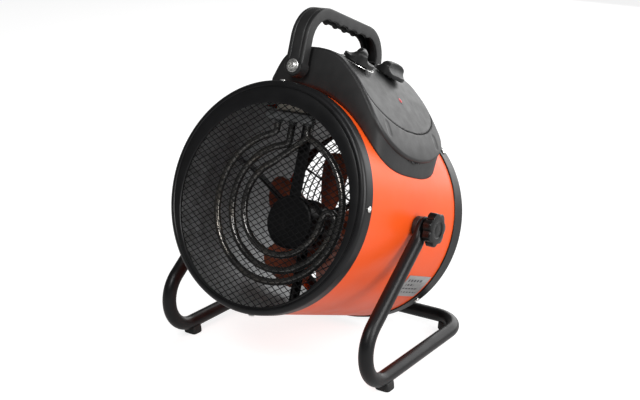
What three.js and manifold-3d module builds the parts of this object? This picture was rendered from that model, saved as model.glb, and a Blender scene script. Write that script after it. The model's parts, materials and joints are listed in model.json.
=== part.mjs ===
// Portable electric drum heater on a bent-tube stand. Millimetres, +Z up, the outlet faces -Y, and the
// feet stand on z = 0. The drum hangs between two side pivots. Everything in the drum is drawn level,
// with the drum axis along Y and the pivot line along X, and the whole drum group is then tilted.
import * as THREE from 'three';
import { mergeVertices } from 'three/addons/utils/BufferGeometryUtils.js';
import Module from 'manifold-3d';

const wasm = await Module();
wasm.setup();

// ---------------------------------------------------------------- driving dimensions
const GAP = 0.3; // clearance between neighbouring pieces
const ROUND = 48; // sides of every drum-sized circle, kept alike so that their facets stay parallel

const PIVOT_Y = 2.95; // puts the origin under the middle of the overall length
const PIVOT_Z = 154;
const TILT = THREE.MathUtils.degToRad(19.8); // nose up
const DRUM_R = 118.5;
const SHEET = 1.2;
const FRONT_Y = -115.5;
const REAR_Y = 109.5;
const RING_R = 120;
const FRONT_RING_DEPTH = 17;
const REAR_RING_DEPTH = 21.5;
const OUTLET_R = 104;
const DUCT_DROP = 7.5; // the heating duct sits low in the drum, which leaves wiring room above it
const DUCT_R = 106;

const TUBE_R = 7.7;
const STAND_HALF = 128; // centre line of each side rail
const RAIL_Z = 13.8;
const RAIL_FRONT_Y = -76;
const CROSSBAR_Y = 99;
const FRONT_BEND_R = 36;
const REAR_BEND_R = 34;
const PIVOT_END_R = 12;
const PADDLE = 5; // thickness of the flattened arm end
const PADDLE_REACH = 20.5; // from the pivot to where the tube is round again

const HOUSING_FRONT_Y = -88;
const HOUSING_REAR_Y = 63;
const HOUSING_MID_Y = (HOUSING_FRONT_Y + HOUSING_REAR_Y) / 2;
const HOUSING_WALL = 2.5;
const HOUSING_LOW_Z = 48;

const HANDLE_WIDTH = 21;
const HANDLE_THICK = 12;
const HANDLE_FRONT_Y = -105;
const HANDLE_REAR_Y = 51;
const HANDLE_TOP_Z = 205;
const HANDLE_CORNER_R = 38;
const LUG_Z = 137;
const LUG_R = 11;

const KNOB_R = 17.5;
const KNOB_TALL = 17;
const KNOB_BASE = 6.5;
const KNOB_LEAN = THREE.MathUtils.degToRad(22);
const THERMOSTAT_AT = [42.8, -53, 153.4];
const SELECTOR_AT = [46.2, 9, 152];

const MOTOR_DROP = 14; // the motor and its fan hang a little below the middle of the duct
const FAN_Y = 14;
const FAN_R = 84;
const BLADES = 5;
const BLADE_START = THREE.MathUtils.degToRad(-20);
const MOTOR_R = 24;
const MOTOR_FRONT_Y = -46;
const MOTOR_REAR_Y = 0;
const SHIELD_R = 28.5;
const SHIELD_FRONT_Y = -59;
const SHAFT_R = 4;

// ---------------------------------------------------------------- materials
const finish = (color, roughness, metalness) => new THREE.MeshStandardMaterial({ color, roughness, metalness });
const ORANGE_PAINT = finish(0xe8541c, 0.38, 0.0);
const BLACK_PAINT = finish(0x1b1b1d, 0.42, 0.0);
const BLACK_PLASTIC = finish(0x242425, 0.62, 0.0);
const KNOB_PLASTIC = finish(0x1d1e1d, 0.55, 0.0);
const RUBBER = finish(0x161616, 0.85, 0.0);
const ZINC = finish(0xc9c9c6, 0.32, 1.0);
const GALVANISED = finish(0x9da1a3, 0.45, 1.0);
const ELEMENT_STEEL = finish(0x3c3a38, 0.45, 1.0);
const MOTOR_STEEL = finish(0x2b2b2c, 0.5, 1.0);
const FAN_PAINT = finish(0x7a2f1c, 0.5, 0.0);
const RED_LENS = finish(0xc0202a, 0.2, 0.0);
const LABEL_FOIL = finish(0xb9b9b5, 0.4, 0.6);
const CERAMIC = finish(0xe6e0d2, 0.6, 0.0);

// ---------------------------------------------------------------- solids and booleans
// Welds a geometry, drops flat triangles and makes it face outwards.
function weld(source) {
  const plain = source.index ? source.toNonIndexed() : source.clone();
  plain.deleteAttribute('normal');
  plain.deleteAttribute('uv');
  const merged = mergeVertices(plain, 1e-4);
  const corners = merged.index.array;
  const kept = [];
  for (let i = 0; i < corners.length; i += 3) {
    const [a, b, c] = [corners[i], corners[i + 1], corners[i + 2]];
    if (a !== b && b !== c && c !== a) kept.push(a, b, c);
  }
  merged.setIndex(kept);
  if (signedVolume(merged) < 0) merged.setIndex(kept.reverse());
  return merged;
}

function signedVolume(geometry) {
  const point = geometry.attributes.position;
  const index = geometry.index.array;
  const [a, b, c] = [new THREE.Vector3(), new THREE.Vector3(), new THREE.Vector3()];
  let total = 0;
  for (let i = 0; i < index.length; i += 3) {
    a.fromBufferAttribute(point, index[i]);
    b.fromBufferAttribute(point, index[i + 1]);
    c.fromBufferAttribute(point, index[i + 2]);
    total += a.dot(b.cross(c)) / 6;
  }
  return total;
}

function toSolid(geometry) {
  const welded = weld(geometry);
  const vertProperties = Float32Array.from(welded.attributes.position.array);
  const triVerts = Uint32Array.from(welded.index.array);
  return new wasm.Manifold(new wasm.Mesh({ numProp: 3, vertProperties, triVerts }));
}

function toGeometry(solid) {
  const mesh = solid.getMesh();
  const geometry = new THREE.BufferGeometry();
  geometry.setAttribute('position', new THREE.BufferAttribute(Float32Array.from(mesh.vertProperties), 3));
  geometry.setIndex(Array.from(mesh.triVerts));
  return geometry;
}

const join = (first, ...rest) => toGeometry(rest.reduce((all, g) => all.add(toSolid(g)), toSolid(first)));
const cut = (first, ...rest) => toGeometry(rest.reduce((left, g) => left.subtract(toSolid(g)), toSolid(first)));
const overlap = (first, second) => toGeometry(toSolid(first).intersect(toSolid(second)));

// ---------------------------------------------------------------- shape helpers
const box = (x, y, z, at = [0, 0, 0]) => new THREE.BoxGeometry(x, y, z).translate(...at);

function rod(radius, from, to, sides = 24, farRadius = radius) {
  const start = new THREE.Vector3(...from);
  const along = new THREE.Vector3(...to).sub(start);
  const turn = new THREE.Quaternion().setFromUnitVectors(new THREE.Vector3(0, 1, 0), along.clone().normalize());
  const middle = start.addScaledVector(along, 0.5);
  const geometry = new THREE.CylinderGeometry(farRadius, radius, along.length(), sides);
  return geometry.applyQuaternion(turn).translate(middle.x, middle.y, middle.z);
}

// Turns a closed [radius, y] outline about the drum axis.
function revolve(outline, segments = ROUND) {
  const loop = [...outline, outline[0]].map(([r, y]) => new THREE.Vector2(r, y));
  return new THREE.LatheGeometry(loop, segments);
}

const tubeBand = (inner, outer, y0, y1, segments = ROUND) =>
  revolve([[inner, y0], [outer, y0], [outer, y1], [inner, y1]], segments);

function polygon(points) {
  return new THREE.Shape(points.map(([x, y]) => new THREE.Vector2(x, y)));
}

// Extrudes an (x, z) outline towards +Y from y0 to y1.
function extrudeY(shape, y0, y1, options = {}) {
  const settings = { depth: y1 - y0, bevelEnabled: false, curveSegments: 8, ...options };
  return new THREE.ExtrudeGeometry(shape, settings).rotateX(Math.PI / 2).translate(0, y1, 0);
}

// Extrudes a (y, z) outline towards +X from x0 to x1.
function extrudeX(shape, x0, x1, options = {}) {
  const settings = { depth: x1 - x0, bevelEnabled: false, curveSegments: 6, ...options };
  const turn = new THREE.Matrix4().makeBasis(
    new THREE.Vector3(0, 1, 0), new THREE.Vector3(0, 0, 1), new THREE.Vector3(1, 0, 0));
  return new THREE.ExtrudeGeometry(shape, settings).applyMatrix4(turn).translate(x0, 0, 0);
}

function sweep(curve, radius, steps, sides = 8) {
  const ring = Array.from({ length: sides }, (_, i) => {
    const angle = (2 * Math.PI * i) / sides;
    return [radius * Math.cos(angle), radius * Math.sin(angle)];
  });
  return new THREE.ExtrudeGeometry(polygon(ring), { steps, extrudePath: curve });
}

// An arc in 3-D: centre + radius * (cos * across + sin * up).
class Arc extends THREE.Curve {
  constructor(centre, radius, across, up, from, to) {
    super();
    Object.assign(this, { centre, radius, across, up, from, to });
  }
  getPoint(t, target = new THREE.Vector3()) {
    const angle = this.from + (this.to - this.from) * t;
    return target.copy(this.centre)
      .addScaledVector(this.across, this.radius * Math.cos(angle))
      .addScaledVector(this.up, this.radius * Math.sin(angle));
  }
}

const X = new THREE.Vector3(1, 0, 0);
const Y = new THREE.Vector3(0, 1, 0);
const Z = new THREE.Vector3(0, 0, 1);
const vec = (x, y, z) => new THREE.Vector3(x, y, z);

// ---------------------------------------------------------------- assembly
const heater = new THREE.Group();
const stand = new THREE.Group();
stand.position.y = PIVOT_Y;
const drum = new THREE.Group();
drum.position.set(0, PIVOT_Y, PIVOT_Z);
drum.rotation.x = -TILT;
const duct = new THREE.Group();
duct.position.z = -DUCT_DROP;
drum.add(duct);
const motorMount = new THREE.Group();
motorMount.position.z = -MOTOR_DROP;
duct.add(motorMount);
heater.add(stand, drum);

function addPart(group, name, geometry, material, place = {}) {
  const mesh = new THREE.Mesh(weld(geometry), material);
  mesh.name = name;
  if (place.at) mesh.position.set(...place.at);
  if (place.turn) mesh.rotation.set(...place.turn);
  group.add(mesh);
  return mesh;
}

// ---------------------------------------------------------------- stand
// The side view of one arm: from the pivot it runs forwards and down, then bends back into the rail.
function armPath(side) {
  const bend = vec(side * STAND_HALF, RAIL_FRONT_Y, RAIL_Z + FRONT_BEND_R);
  const pivot = vec(side * STAND_HALF, 0, PIVOT_Z);
  const toBend = bend.clone().sub(pivot);
  const distance = toBend.length();
  const heading = Math.atan2(toBend.z, toBend.y) - Math.asin(FRONT_BEND_R / distance);
  const along = vec(0, Math.cos(heading), Math.sin(heading));
  const touch = pivot.clone().addScaledVector(along, Math.sqrt(distance ** 2 - FRONT_BEND_R ** 2));
  const start = Math.atan2(touch.z - bend.z, touch.y - bend.y);
  return { pivot, along, touch, bend, start };
}

function standCurve() {
  const path = new THREE.CurvePath();
  const ends = [];
  for (const side of [-1, 1]) {
    const { pivot, along, touch, bend, start } = armPath(side);
    const sweepEnd = start > 0 ? 1.5 * Math.PI : -0.5 * Math.PI;
    const corner = vec(side * (STAND_HALF - REAR_BEND_R), CROSSBAR_Y - REAR_BEND_R, RAIL_Z);
    const pieces = [
      new THREE.LineCurve3(pivot.clone().addScaledVector(along, PADDLE_REACH), touch),
      new Arc(bend, FRONT_BEND_R, Y, Z, start, sweepEnd),
      new THREE.LineCurve3(vec(side * STAND_HALF, RAIL_FRONT_Y, RAIL_Z),
        vec(side * STAND_HALF, CROSSBAR_Y - REAR_BEND_R, RAIL_Z)),
      new Arc(corner, REAR_BEND_R, X.clone().multiplyScalar(side), Y, 0, Math.PI / 2),
    ];
    ends.push(pieces);
  }
  const [left, right] = ends;
  for (const piece of left) path.add(piece);
  const halfCross = STAND_HALF - REAR_BEND_R;
  path.add(new THREE.LineCurve3(vec(-halfCross, CROSSBAR_Y, RAIL_Z), vec(halfCross, CROSSBAR_Y, RAIL_Z)));
  for (const piece of right.reverse()) path.add(reversed(piece));
  return path;
}

function reversed(piece) {
  if (piece.isLineCurve3) return new THREE.LineCurve3(piece.v2, piece.v1);
  return new Arc(piece.centre, piece.radius, piece.across, piece.up, piece.to, piece.from);
}

// The flattened arm end: a round-nosed plate with the pivot hole.
function paddle(side) {
  const { pivot, along } = armPath(side);
  const length = PADDLE_REACH + 8;
  const plate = box(PADDLE, 2 * PIVOT_END_R - 4, length)
    .translate(0, 0, -length / 2)
    .rotateX(Math.atan2(along.z, along.y) + Math.PI / 2)
    .translate(pivot.x, pivot.y, pivot.z);
  const nose = rod(PIVOT_END_R, [pivot.x - PADDLE / 2, 0, PIVOT_Z], [pivot.x + PADDLE / 2, 0, PIVOT_Z]);
  return { plate, nose };
}

function addStand() {
  const pieces = [-1, 1].map(paddle);
  const tube = sweep(standCurve(), TUBE_R, 92, 8);
  const holes = [-1, 1].map((side) =>
    rod(4.4, [side * (STAND_HALF - 10), 0, PIVOT_Z], [side * (STAND_HALF + 10), 0, PIVOT_Z], 16));
  const joined = join(tube, ...pieces.flatMap(({ plate, nose }) => [plate, nose]));
  addPart(stand, 'stand_tube', cut(joined, ...holes), BLACK_PAINT);
}

// A rounded rubber block that is hollowed to seat the lower half of the tube.
function foot(seat) {
  const height = RAIL_Z - 3;
  const block = rod(8.5, [0, 0, 0], [0, 0, height], 24, 9.5);
  const wide = box(17, 15, height, [0, 0, height / 2]);
  return cut(overlap(block.scale(1.2, 1.1, 1), wide), seat);
}

function addFeet() {
  const seatR = TUBE_R + 0.8;
  const bendAt = THREE.MathUtils.degToRad(64);
  const straight = rod(seatR, [0, -20, RAIL_Z], [0, 20, RAIL_Z], 20);
  for (const [name, side] of [['left', -1], ['right', 1]]) {
    const front = [side * STAND_HALF, RAIL_FRONT_Y + 2, 0];
    addPart(stand, `foot_front_${name}`, foot(straight), RUBBER, { at: front });
    const bend = new Arc(vec(-REAR_BEND_R, 0, RAIL_Z), REAR_BEND_R, X, Y, -0.6, 0.6);
    const rear = [side * (STAND_HALF - REAR_BEND_R + REAR_BEND_R * Math.cos(bendAt)),
      CROSSBAR_Y - REAR_BEND_R + REAR_BEND_R * Math.sin(bendAt), 0];
    const turn = [0, 0, side > 0 ? bendAt : Math.PI - bendAt];
    addPart(stand, `foot_rear_${name}`, foot(sweep(bend, seatR, 10, 16)), RUBBER, { at: rear, turn });
  }
}

// ---------------------------------------------------------------- drum, rings and grilles
function frontRing() {
  const inner = DRUM_R + GAP;
  const backY = FRONT_Y + FRONT_RING_DEPTH;
  const corner = 4.5;
  const arc = [0, 1 / 3, 2 / 3, 1].map((t) => {
    const angle = (t * Math.PI) / 2;
    return [RING_R - corner + corner * Math.cos(angle), FRONT_Y + corner - corner * Math.sin(angle)];
  });
  const outline = [[inner, backY], [RING_R, backY], ...arc, [114.6, FRONT_Y], [114.2, FRONT_Y + 1.1],
    [113.2, FRONT_Y + 1.1], [112.8, FRONT_Y + 0.2], [90, FRONT_Y + 0.2], [90, FRONT_Y + 2.2],
    [inner, FRONT_Y + 2.2]];
  const outlet = rod(OUTLET_R, [0, FRONT_Y - 5, -DUCT_DROP], [0, FRONT_Y + 5, -DUCT_DROP], ROUND);
  return cut(revolve(outline), outlet);
}

function rearRing() {
  const inner = DRUM_R + GAP;
  const frontY = REAR_Y - REAR_RING_DEPTH;
  const outline = [[inner, frontY], [RING_R, frontY], [RING_R, REAR_Y - 4.5], [RING_R - 1.4, REAR_Y - 1.4],
    [RING_R - 4.5, REAR_Y], [108, REAR_Y], [108, REAR_Y - 2], [inner, REAR_Y - 2]];
  return revolve(outline);
}

// Diamond mesh in the outlet: an open lattice of crossing bars inside a flat rim.
function frontGrille() {
  const thick = 1.4;
  const y0 = FRONT_Y + 2.2 + GAP;
  const pitch = 27;
  const bars = [];
  for (const slope of [-1, 1]) {
    const lean = slope * THREE.MathUtils.degToRad(36);
    for (let k = -4; k <= 4; k += 1) {
      bars.push(box(2.4, thick, 240, [k * pitch, y0 + thick / 2, 0]).rotateY(lean + Math.PI / 2));
    }
  }
  const lattice = overlap(join(...bars), rod(DUCT_R - 2, [0, y0 - 2, 0], [0, y0 + 4, 0], 24));
  return join(lattice, tubeBand(DUCT_R - 3.5, DUCT_R + 1, y0, y0 + thick, 36));
}

function rearGrille() {
  const y0 = REAR_Y - 2 - GAP - 3;
  const rings = [29, 57, 85].map((r) => tubeBand(r - 1.4, r + 1.4, y0, y0 + 2.8, 24));
  const spokes = [0, 1, 2, 3].map((k) => box(2 * 112, 2.4, 2.8).rotateY((k * Math.PI) / 4)
    .translate(0, y0 - 0.9, 0));
  return join(tubeBand(107, 115, y0, y0 + 2.8, 32), ...rings, ...spokes);
}

// Small pan-head screw with its axis along the radius at the given angle from the top.
function ringScrew(angle, y) {
  const seat = RING_R + GAP;
  const head = rod(3.2, [0, y, seat], [0, y, seat + 1.8], 16, 2.3);
  return head.rotateY(angle);
}

function addRingScrews() {
  const frontAt = [-4, 86, 176, 266];
  const rearAt = [44, 134, 224, 314];
  frontAt.forEach((degrees, i) => addPart(drum, `front_ring_screw_${i + 1}`,
    ringScrew(THREE.MathUtils.degToRad(degrees), FRONT_Y + 10), ZINC));
  rearAt.forEach((degrees, i) => addPart(drum, `rear_ring_screw_${i + 1}`,
    ringScrew(THREE.MathUtils.degToRad(degrees), REAR_Y - 11), ZINC));
}

function addDrum() {
  const shellFront = FRONT_Y + 2.2 + GAP;
  const shellRear = REAR_Y - 2 - GAP;
  const shell = tubeBand(DRUM_R - SHEET, DRUM_R, shellFront, shellRear);
  const wireway = rod(9, [0, -20, 100], [0, -20, 125], 16);
  const studs = [-1, 1].map((s) => rod(4.4, [s * 100, 0, 0], [s * 130, 0, 0], 16));
  addPart(drum, 'drum_shell', cut(shell, wireway, ...studs), ORANGE_PAINT);
  addPart(drum, 'front_ring', frontRing(), BLACK_PAINT);
  addPart(drum, 'rear_ring', rearRing(), BLACK_PAINT);
  addPart(duct, 'front_grille', frontGrille(), BLACK_PAINT);
  addPart(drum, 'rear_grille', rearGrille(), BLACK_PAINT);
  const liner = tubeBand(DUCT_R - 0.8, DUCT_R, FRONT_Y + 5, 78);
  const notch = box(62, 32, 30, [0, -80, DUCT_R]);
  addPart(duct, 'inner_liner', cut(liner, notch), GALVANISED);
}

// Two channels that hold the duct inside the drum.
function addLinerBrackets() {
  const floor = DUCT_R + GAP;
  const lower = DRUM_R - SHEET - GAP - DUCT_DROP;
  const upper = Math.sqrt((DRUM_R - SHEET - GAP) ** 2 - 8 ** 2) + DUCT_DROP;
  const roof = box(16, 40, upper - floor - 0.1, [0, 20, (upper + floor) / 2]);
  addPart(duct, 'liner_bracket_top', roof, GALVANISED);
  const sill = Math.sqrt(lower ** 2 - 8 ** 2) - 0.4;
  addPart(duct, 'liner_bracket_bottom', box(16, 40, sill - floor, [0, 20, -(sill + floor) / 2]), GALVANISED);
}

// ---------------------------------------------------------------- heating elements, motor and fan
const OUTER_LOOP = { y: -84, radius: 78 };
const INNER_LOOP = { y: -74, radius: 66, back: 50 };

// A single ring whose two ends turn up to the terminal bracket.
function outerElementCurve() {
  const { y, radius } = OUTER_LOOP;
  const spread = THREE.MathUtils.degToRad(14);
  const from = Math.PI / 2 + spread;
  const to = Math.PI / 2 - spread + 2 * Math.PI;
  const end = (angle) => vec(radius * Math.cos(angle), y, radius * Math.sin(angle));
  const path = new THREE.CurvePath();
  path.add(new THREE.LineCurve3(end(from).setZ(94), end(from)));
  path.add(new Arc(vec(0, y, 0), radius, X, Z, from, to));
  path.add(new THREE.LineCurve3(end(to), end(to).setZ(94)));
  return path;
}

// A double ring: round to the right-hand side, a U-turn inwards, and back round to the top.
function innerElementCurve() {
  const { y, radius, back } = INNER_LOOP;
  const start = Math.PI / 2 + 0.12;
  const turnAt = 2 * Math.PI - 0.05;
  const middle = (radius + back) / 2;
  const turnRadius = (radius - back) / 2;
  const hub = vec(middle * Math.cos(turnAt), y, middle * Math.sin(turnAt));
  const outward = vec(Math.cos(turnAt), 0, Math.sin(turnAt));
  const onward = vec(-Math.sin(turnAt), 0, Math.cos(turnAt));
  const rise = (r, angle) => vec(r * Math.cos(angle), y, r * Math.sin(angle));
  const path = new THREE.CurvePath();
  path.add(new THREE.LineCurve3(rise(radius, start).setZ(94), rise(radius, start)));
  path.add(new Arc(vec(0, y, 0), radius, X, Z, start, turnAt));
  path.add(new Arc(hub, turnRadius, outward, onward, 0, Math.PI));
  path.add(new Arc(vec(0, y, 0), back, X, Z, turnAt, Math.PI / 2 + 0.5));
  path.add(new THREE.LineCurve3(rise(back, Math.PI / 2 + 0.5), vec(8, y + 9, 76)));
  path.add(new THREE.LineCurve3(vec(8, y + 9, 76), vec(8, y + 9, 94)));
  return path;
}

function addElements() {
  const tube = 3.6;
  addPart(duct, 'outer_heating_element', sweep(outerElementCurve(), tube, 48, 6), ELEMENT_STEEL);
  addPart(duct, 'inner_heating_element', sweep(innerElementCurve(), tube, 76, 6), ELEMENT_STEEL);
  const strip = box(58, 30, 3, [0, -80, 96.5]);
  addPart(duct, 'element_bracket', strip, GALVANISED);
  addPart(duct, 'terminal_block', box(40, 22, 10, [0, -80, 98.3 + 5]), CERAMIC);
}

// How far the duct's wall is from the motor's centre line, in a direction measured from +X towards +Z.
function reachToLiner(angle) {
  const rise = MOTOR_DROP * Math.sin(angle);
  return rise + Math.sqrt((DUCT_R - 0.8 - GAP) ** 2 - MOTOR_DROP ** 2 + rise ** 2);
}

function motorBracket() {
  const middle = (MOTOR_FRONT_Y + MOTOR_REAR_Y) / 2;
  const collar = tubeBand(MOTOR_R + GAP, MOTOR_R + 3, middle - 6, middle + 6, 32);
  const arms = [30, 150, 270].map((degrees) => {
    const angle = THREE.MathUtils.degToRad(degrees);
    const start = MOTOR_R + 1.5;
    const end = reachToLiner(angle) - 0.5;
    return box(end - start, 12, 3).translate((start + end) / 2, middle, 0).rotateY(-angle);
  });
  return join(collar, ...arms);
}

// A shallow pan in front of the motor, hung from the roof of the duct by a strap.
function heatShield() {
  const front = SHIELD_FRONT_Y;
  const rear = MOTOR_FRONT_Y - 1;
  const wall = 1.5;
  const pan = revolve([[0, front], [SHIELD_R - 2, front], [SHIELD_R, front + 2], [SHIELD_R, rear],
    [SHIELD_R - wall, rear], [SHIELD_R - wall, front + 3], [SHIELD_R - 3, front + wall],
    [0, front + wall]], 32);
  const foot = SHIELD_R - 1;
  const top = reachToLiner(Math.PI / 2) - 0.5;
  return join(pan, box(14, 2, top - foot, [0, front + 3.2, (top + foot) / 2]));
}

function addMotor() {
  const body = revolve([[0, MOTOR_FRONT_Y], [MOTOR_R - 3, MOTOR_FRONT_Y], [MOTOR_R, MOTOR_FRONT_Y + 3],
    [MOTOR_R, MOTOR_REAR_Y - 3], [MOTOR_R - 3, MOTOR_REAR_Y], [0, MOTOR_REAR_Y]], 32);
  const bore = rod(SHAFT_R + GAP, [0, MOTOR_REAR_Y - 20, 0], [0, MOTOR_REAR_Y + 5, 0], 16);
  addPart(motorMount, 'fan_motor', cut(body, bore), MOTOR_STEEL);
  addPart(motorMount, 'motor_bracket', motorBracket(), BLACK_PAINT);
  addPart(motorMount, 'motor_heat_shield', heatShield(), BLACK_PAINT);
}

// A sheet-metal axial fan: round hub, shaft stub and pitched blades.
function fanRotor() {
  const hub = rod(24, [0, FAN_Y - 12, 0], [0, FAN_Y + 10, 0], 32);
  const shaft = rod(SHAFT_R, [0, MOTOR_REAR_Y - 16, 0], [0, FAN_Y, 0], 12);
  const blades = Array.from({ length: BLADES }, (_, i) => {
    const outline = new THREE.Shape();
    outline.moveTo(18, -13);
    outline.quadraticCurveTo(60, -34, FAN_R - 2, -30);
    outline.quadraticCurveTo(FAN_R + 4, -2, FAN_R - 8, 24);
    outline.quadraticCurveTo(56, 22, 18, 13);
    const blade = new THREE.ExtrudeGeometry(outline, { depth: 1.6, bevelEnabled: false, curveSegments: 5 });
    return blade.translate(0, 0, -0.8).rotateX(Math.PI / 2 - THREE.MathUtils.degToRad(28))
      .translate(0, FAN_Y, 0).rotateY((2 * Math.PI * i) / BLADES + BLADE_START);
  });
  return join(hub, shaft, ...blades);
}

// ---------------------------------------------------------------- control housing
// Cross-section of the saddle in (x, z), from its left foot over the crest to the right-hand tongue.
const SECTION = [[-37, 108], [-37, 124], [-27, 147], [-12, 158.5], [14, 161.5], [40, 156], [64, 138],
  [83, 117], [102.5, 89.5], [112, 66], [114, 44]];

function sectionShape(inset) {
  const points = SECTION.map(([x, z], i) => {
    const before = SECTION[Math.max(i - 1, 0)];
    const after = SECTION[Math.min(i + 1, SECTION.length - 1)];
    const along = new THREE.Vector2(after[0] - before[0], after[1] - before[1]).normalize();
    return new THREE.Vector2(x + along.y * inset, z - along.x * inset);
  });
  const shape = new THREE.Shape();
  shape.moveTo(points[0].x, points[0].y);
  shape.lineTo(points[1].x, points[1].y);
  shape.splineThru(points.slice(2));
  shape.lineTo(70, 40);
  shape.lineTo(0, 80);
  return shape;
}

// Side view of the saddle in (y, z): square at the top, a rounded tongue at the bottom.
function tongueShape(inset) {
  const halfLength = (HOUSING_REAR_Y - HOUSING_FRONT_Y) / 2 - inset;
  const low = HOUSING_LOW_Z + inset;
  const shoulder = 100;
  const bottom = Array.from({ length: 13 }, (_, i) => {
    const angle = Math.PI + (Math.PI * i) / 12;
    const [c, s] = [Math.cos(angle), Math.sin(angle)];
    const stretch = (v) => Math.sign(v) * Math.abs(v) ** 0.72;
    return [HOUSING_MID_Y + halfLength * stretch(c), shoulder + (shoulder - low) * stretch(s)];
  });
  return polygon([...bottom, [HOUSING_MID_Y + halfLength, 175], [HOUSING_MID_Y - halfLength, 175]]);
}

function saddle(inset, bevel) {
  const along = { bevelEnabled: bevel > 0, bevelThickness: bevel, bevelSize: bevel, bevelOffset: -bevel,
    bevelSegments: 2, curveSegments: 2 };
  const body = extrudeY(sectionShape(inset), HOUSING_FRONT_Y + inset + bevel,
    HOUSING_REAR_Y - inset - bevel, along);
  return overlap(body, extrudeX(tongueShape(inset), -60, 140));
}

// Pocket in the top rear of the housing where the rear leg of the handle stands.
const legPocket = (grow) => box(HANDLE_WIDTH + 6 + 2 * grow, 60, 60,
  [0, HANDLE_REAR_Y - HANDLE_THICK - GAP - grow + 30, LUG_Z - LUG_R - 2 - grow + 30]);

// The panel insert, seen square-on to the sloping face: straight sides and a half-elliptical lower end.
function panelPrism(grow) {
  const slope = THREE.MathUtils.degToRad(42);
  const half = 70 + grow;
  const outline = new THREE.Shape();
  outline.moveTo(-half, -88 - grow);
  outline.lineTo(half, -88 - grow);
  outline.lineTo(half, -29);
  outline.absellipse(0, -29, half, 40 + grow, 0, Math.PI, false, 0);
  const prism = new THREE.ExtrudeGeometry(outline, { depth: 41, bevelEnabled: false, curveSegments: 14 });
  const turn = new THREE.Matrix4().makeBasis(Y,
    vec(Math.cos(slope), 0, -Math.sin(slope)), vec(Math.sin(slope), 0, Math.cos(slope)).negate());
  return prism.applyMatrix4(turn).translate(0, HOUSING_MID_Y, 0)
    .translate(Math.sin(slope) * 172, 0, Math.cos(slope) * 172);
}

const leanAxis = (out) => [Math.sin(KNOB_LEAN) * out, 0, Math.cos(KNOB_LEAN) * out];
const offset = (at, out) => at.map((value, i) => value + leanAxis(out)[i]);
const knobHole = (at) => rod(4.6, offset(at, -25), offset(at, 10), 16);
const knobSeat = (at) => rod(KNOB_R + 3, offset(at, 0.1), offset(at, 12), 40); // flat land under each knob

// Oblong well with a screw at its bottom, on the lower part of the sloping face.
const WELLS = [HOUSING_MID_Y - 51.5, HOUSING_MID_Y + 51.5];
const WELL_AT = [100.5, 92];
const WELL_LEAN = THREE.MathUtils.degToRad(58);

function well(y, radius, out0, out1) {
  const normal = [Math.sin(WELL_LEAN), Math.cos(WELL_LEAN)];
  const point = (out, shift) => [WELL_AT[0] + normal[0] * out + normal[1] * shift, y,
    WELL_AT[1] + normal[1] * out - normal[0] * shift];
  const ends = [-4, 4].map((shift) => rod(radius, point(out0, shift), point(out1, shift), 8));
  const middle = box(8, 2 * radius * Math.cos(Math.PI / 8), out1 - out0).rotateY(WELL_LEAN)
    .translate(...point((out0 + out1) / 2, 0));
  return join(middle, ...ends);
}

function housingParts() {
  const drumBody = rod(DRUM_R + GAP, [0, -130, 0], [0, 130, 0], ROUND);
  const outer = cut(saddle(0, 4), legPocket(0), drumBody);
  const hollow = cut(saddle(HOUSING_WALL, 2), legPocket(HOUSING_WALL));
  const shell = cut(outer, hollow);
  const gland = rod(6.3, [62, HOUSING_REAR_Y - 10, 116], [62, HOUSING_REAR_Y + 10, 116], 20);
  const bolts = [[HOUSING_FRONT_Y - 10, HOUSING_FRONT_Y + 10], [20, HANDLE_REAR_Y]].map(([y0, y1]) =>
    rod(3.3, [0, y0, LUG_Z], [0, y1, LUG_Z], 12));
  const dents = WELLS.map((y) => well(y, 2.8, -1.2, 12));
  const seats = [THERMOSTAT_AT, SELECTOR_AT].map(knobSeat);
  const housing = cut(shell, panelPrism(GAP), gland, ...bolts, ...dents, ...seats);
  const lamp = rod(3.3, [60, HOUSING_MID_Y + 7, 112], [90, HOUSING_MID_Y + 7, 142], 16);
  const holes = [THERMOSTAT_AT, SELECTOR_AT].map(knobHole);
  const panel = cut(overlap(shell, panelPrism(0)), ...holes, ...seats, lamp);
  return { housing, panel };
}

function addHousing() {
  const { housing, panel } = housingParts();
  addPart(drum, 'control_housing', housing, BLACK_PLASTIC);
  addPart(drum, 'control_panel', panel, BLACK_PLASTIC);
  const lens = rod(3, [72.2, HOUSING_MID_Y + 7, 124.2], [75.6, HOUSING_MID_Y + 7, 127.6], 16);
  addPart(drum, 'indicator_lens', lens, RED_LENS);
  addPart(drum, 'cord_gland', cordGland(), BLACK_PLASTIC);
}

// Strain-relief bush in the rear wall, open for the supply cord.
function cordGland() {
  const stepped = revolve([[3.6, -8], [5.9, -8], [5.9, GAP], [9, GAP], [9, 4], [6.5, 12], [3.6, 12]], 20);
  return stepped.translate(62, HOUSING_REAR_Y, 116);
}

function addControls() {
  for (const [name, at, deep] of [['thermostat', THERMOSTAT_AT, 18], ['selector_switch', SELECTOR_AT, 20]]) {
    const block = box(24, 26, deep, [0, 0, -deep / 2 - 7.5]).rotateY(KNOB_LEAN).translate(...at);
    const bore = rod(3.4, offset(at, -20), offset(at, 0), 12);
    addPart(drum, name, cut(block, bore), CERAMIC);
  }
  addPart(drum, 'thermal_cutout', rod(8, [0, -52, 119.5], [0, -52, 126], 20), CERAMIC);
  const dial = revolve([[KNOB_R + 0.6, 0], [KNOB_R + 2.2, 0], [KNOB_R + 2.2, 0.6], [KNOB_R + 0.6, 0.6]], 40);
  dial.rotateX(Math.PI / 2).rotateY(KNOB_LEAN).translate(...offset(THERMOSTAT_AT, 0.4));
  addPart(drum, 'thermostat_dial_ring', dial, ZINC);
}

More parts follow.
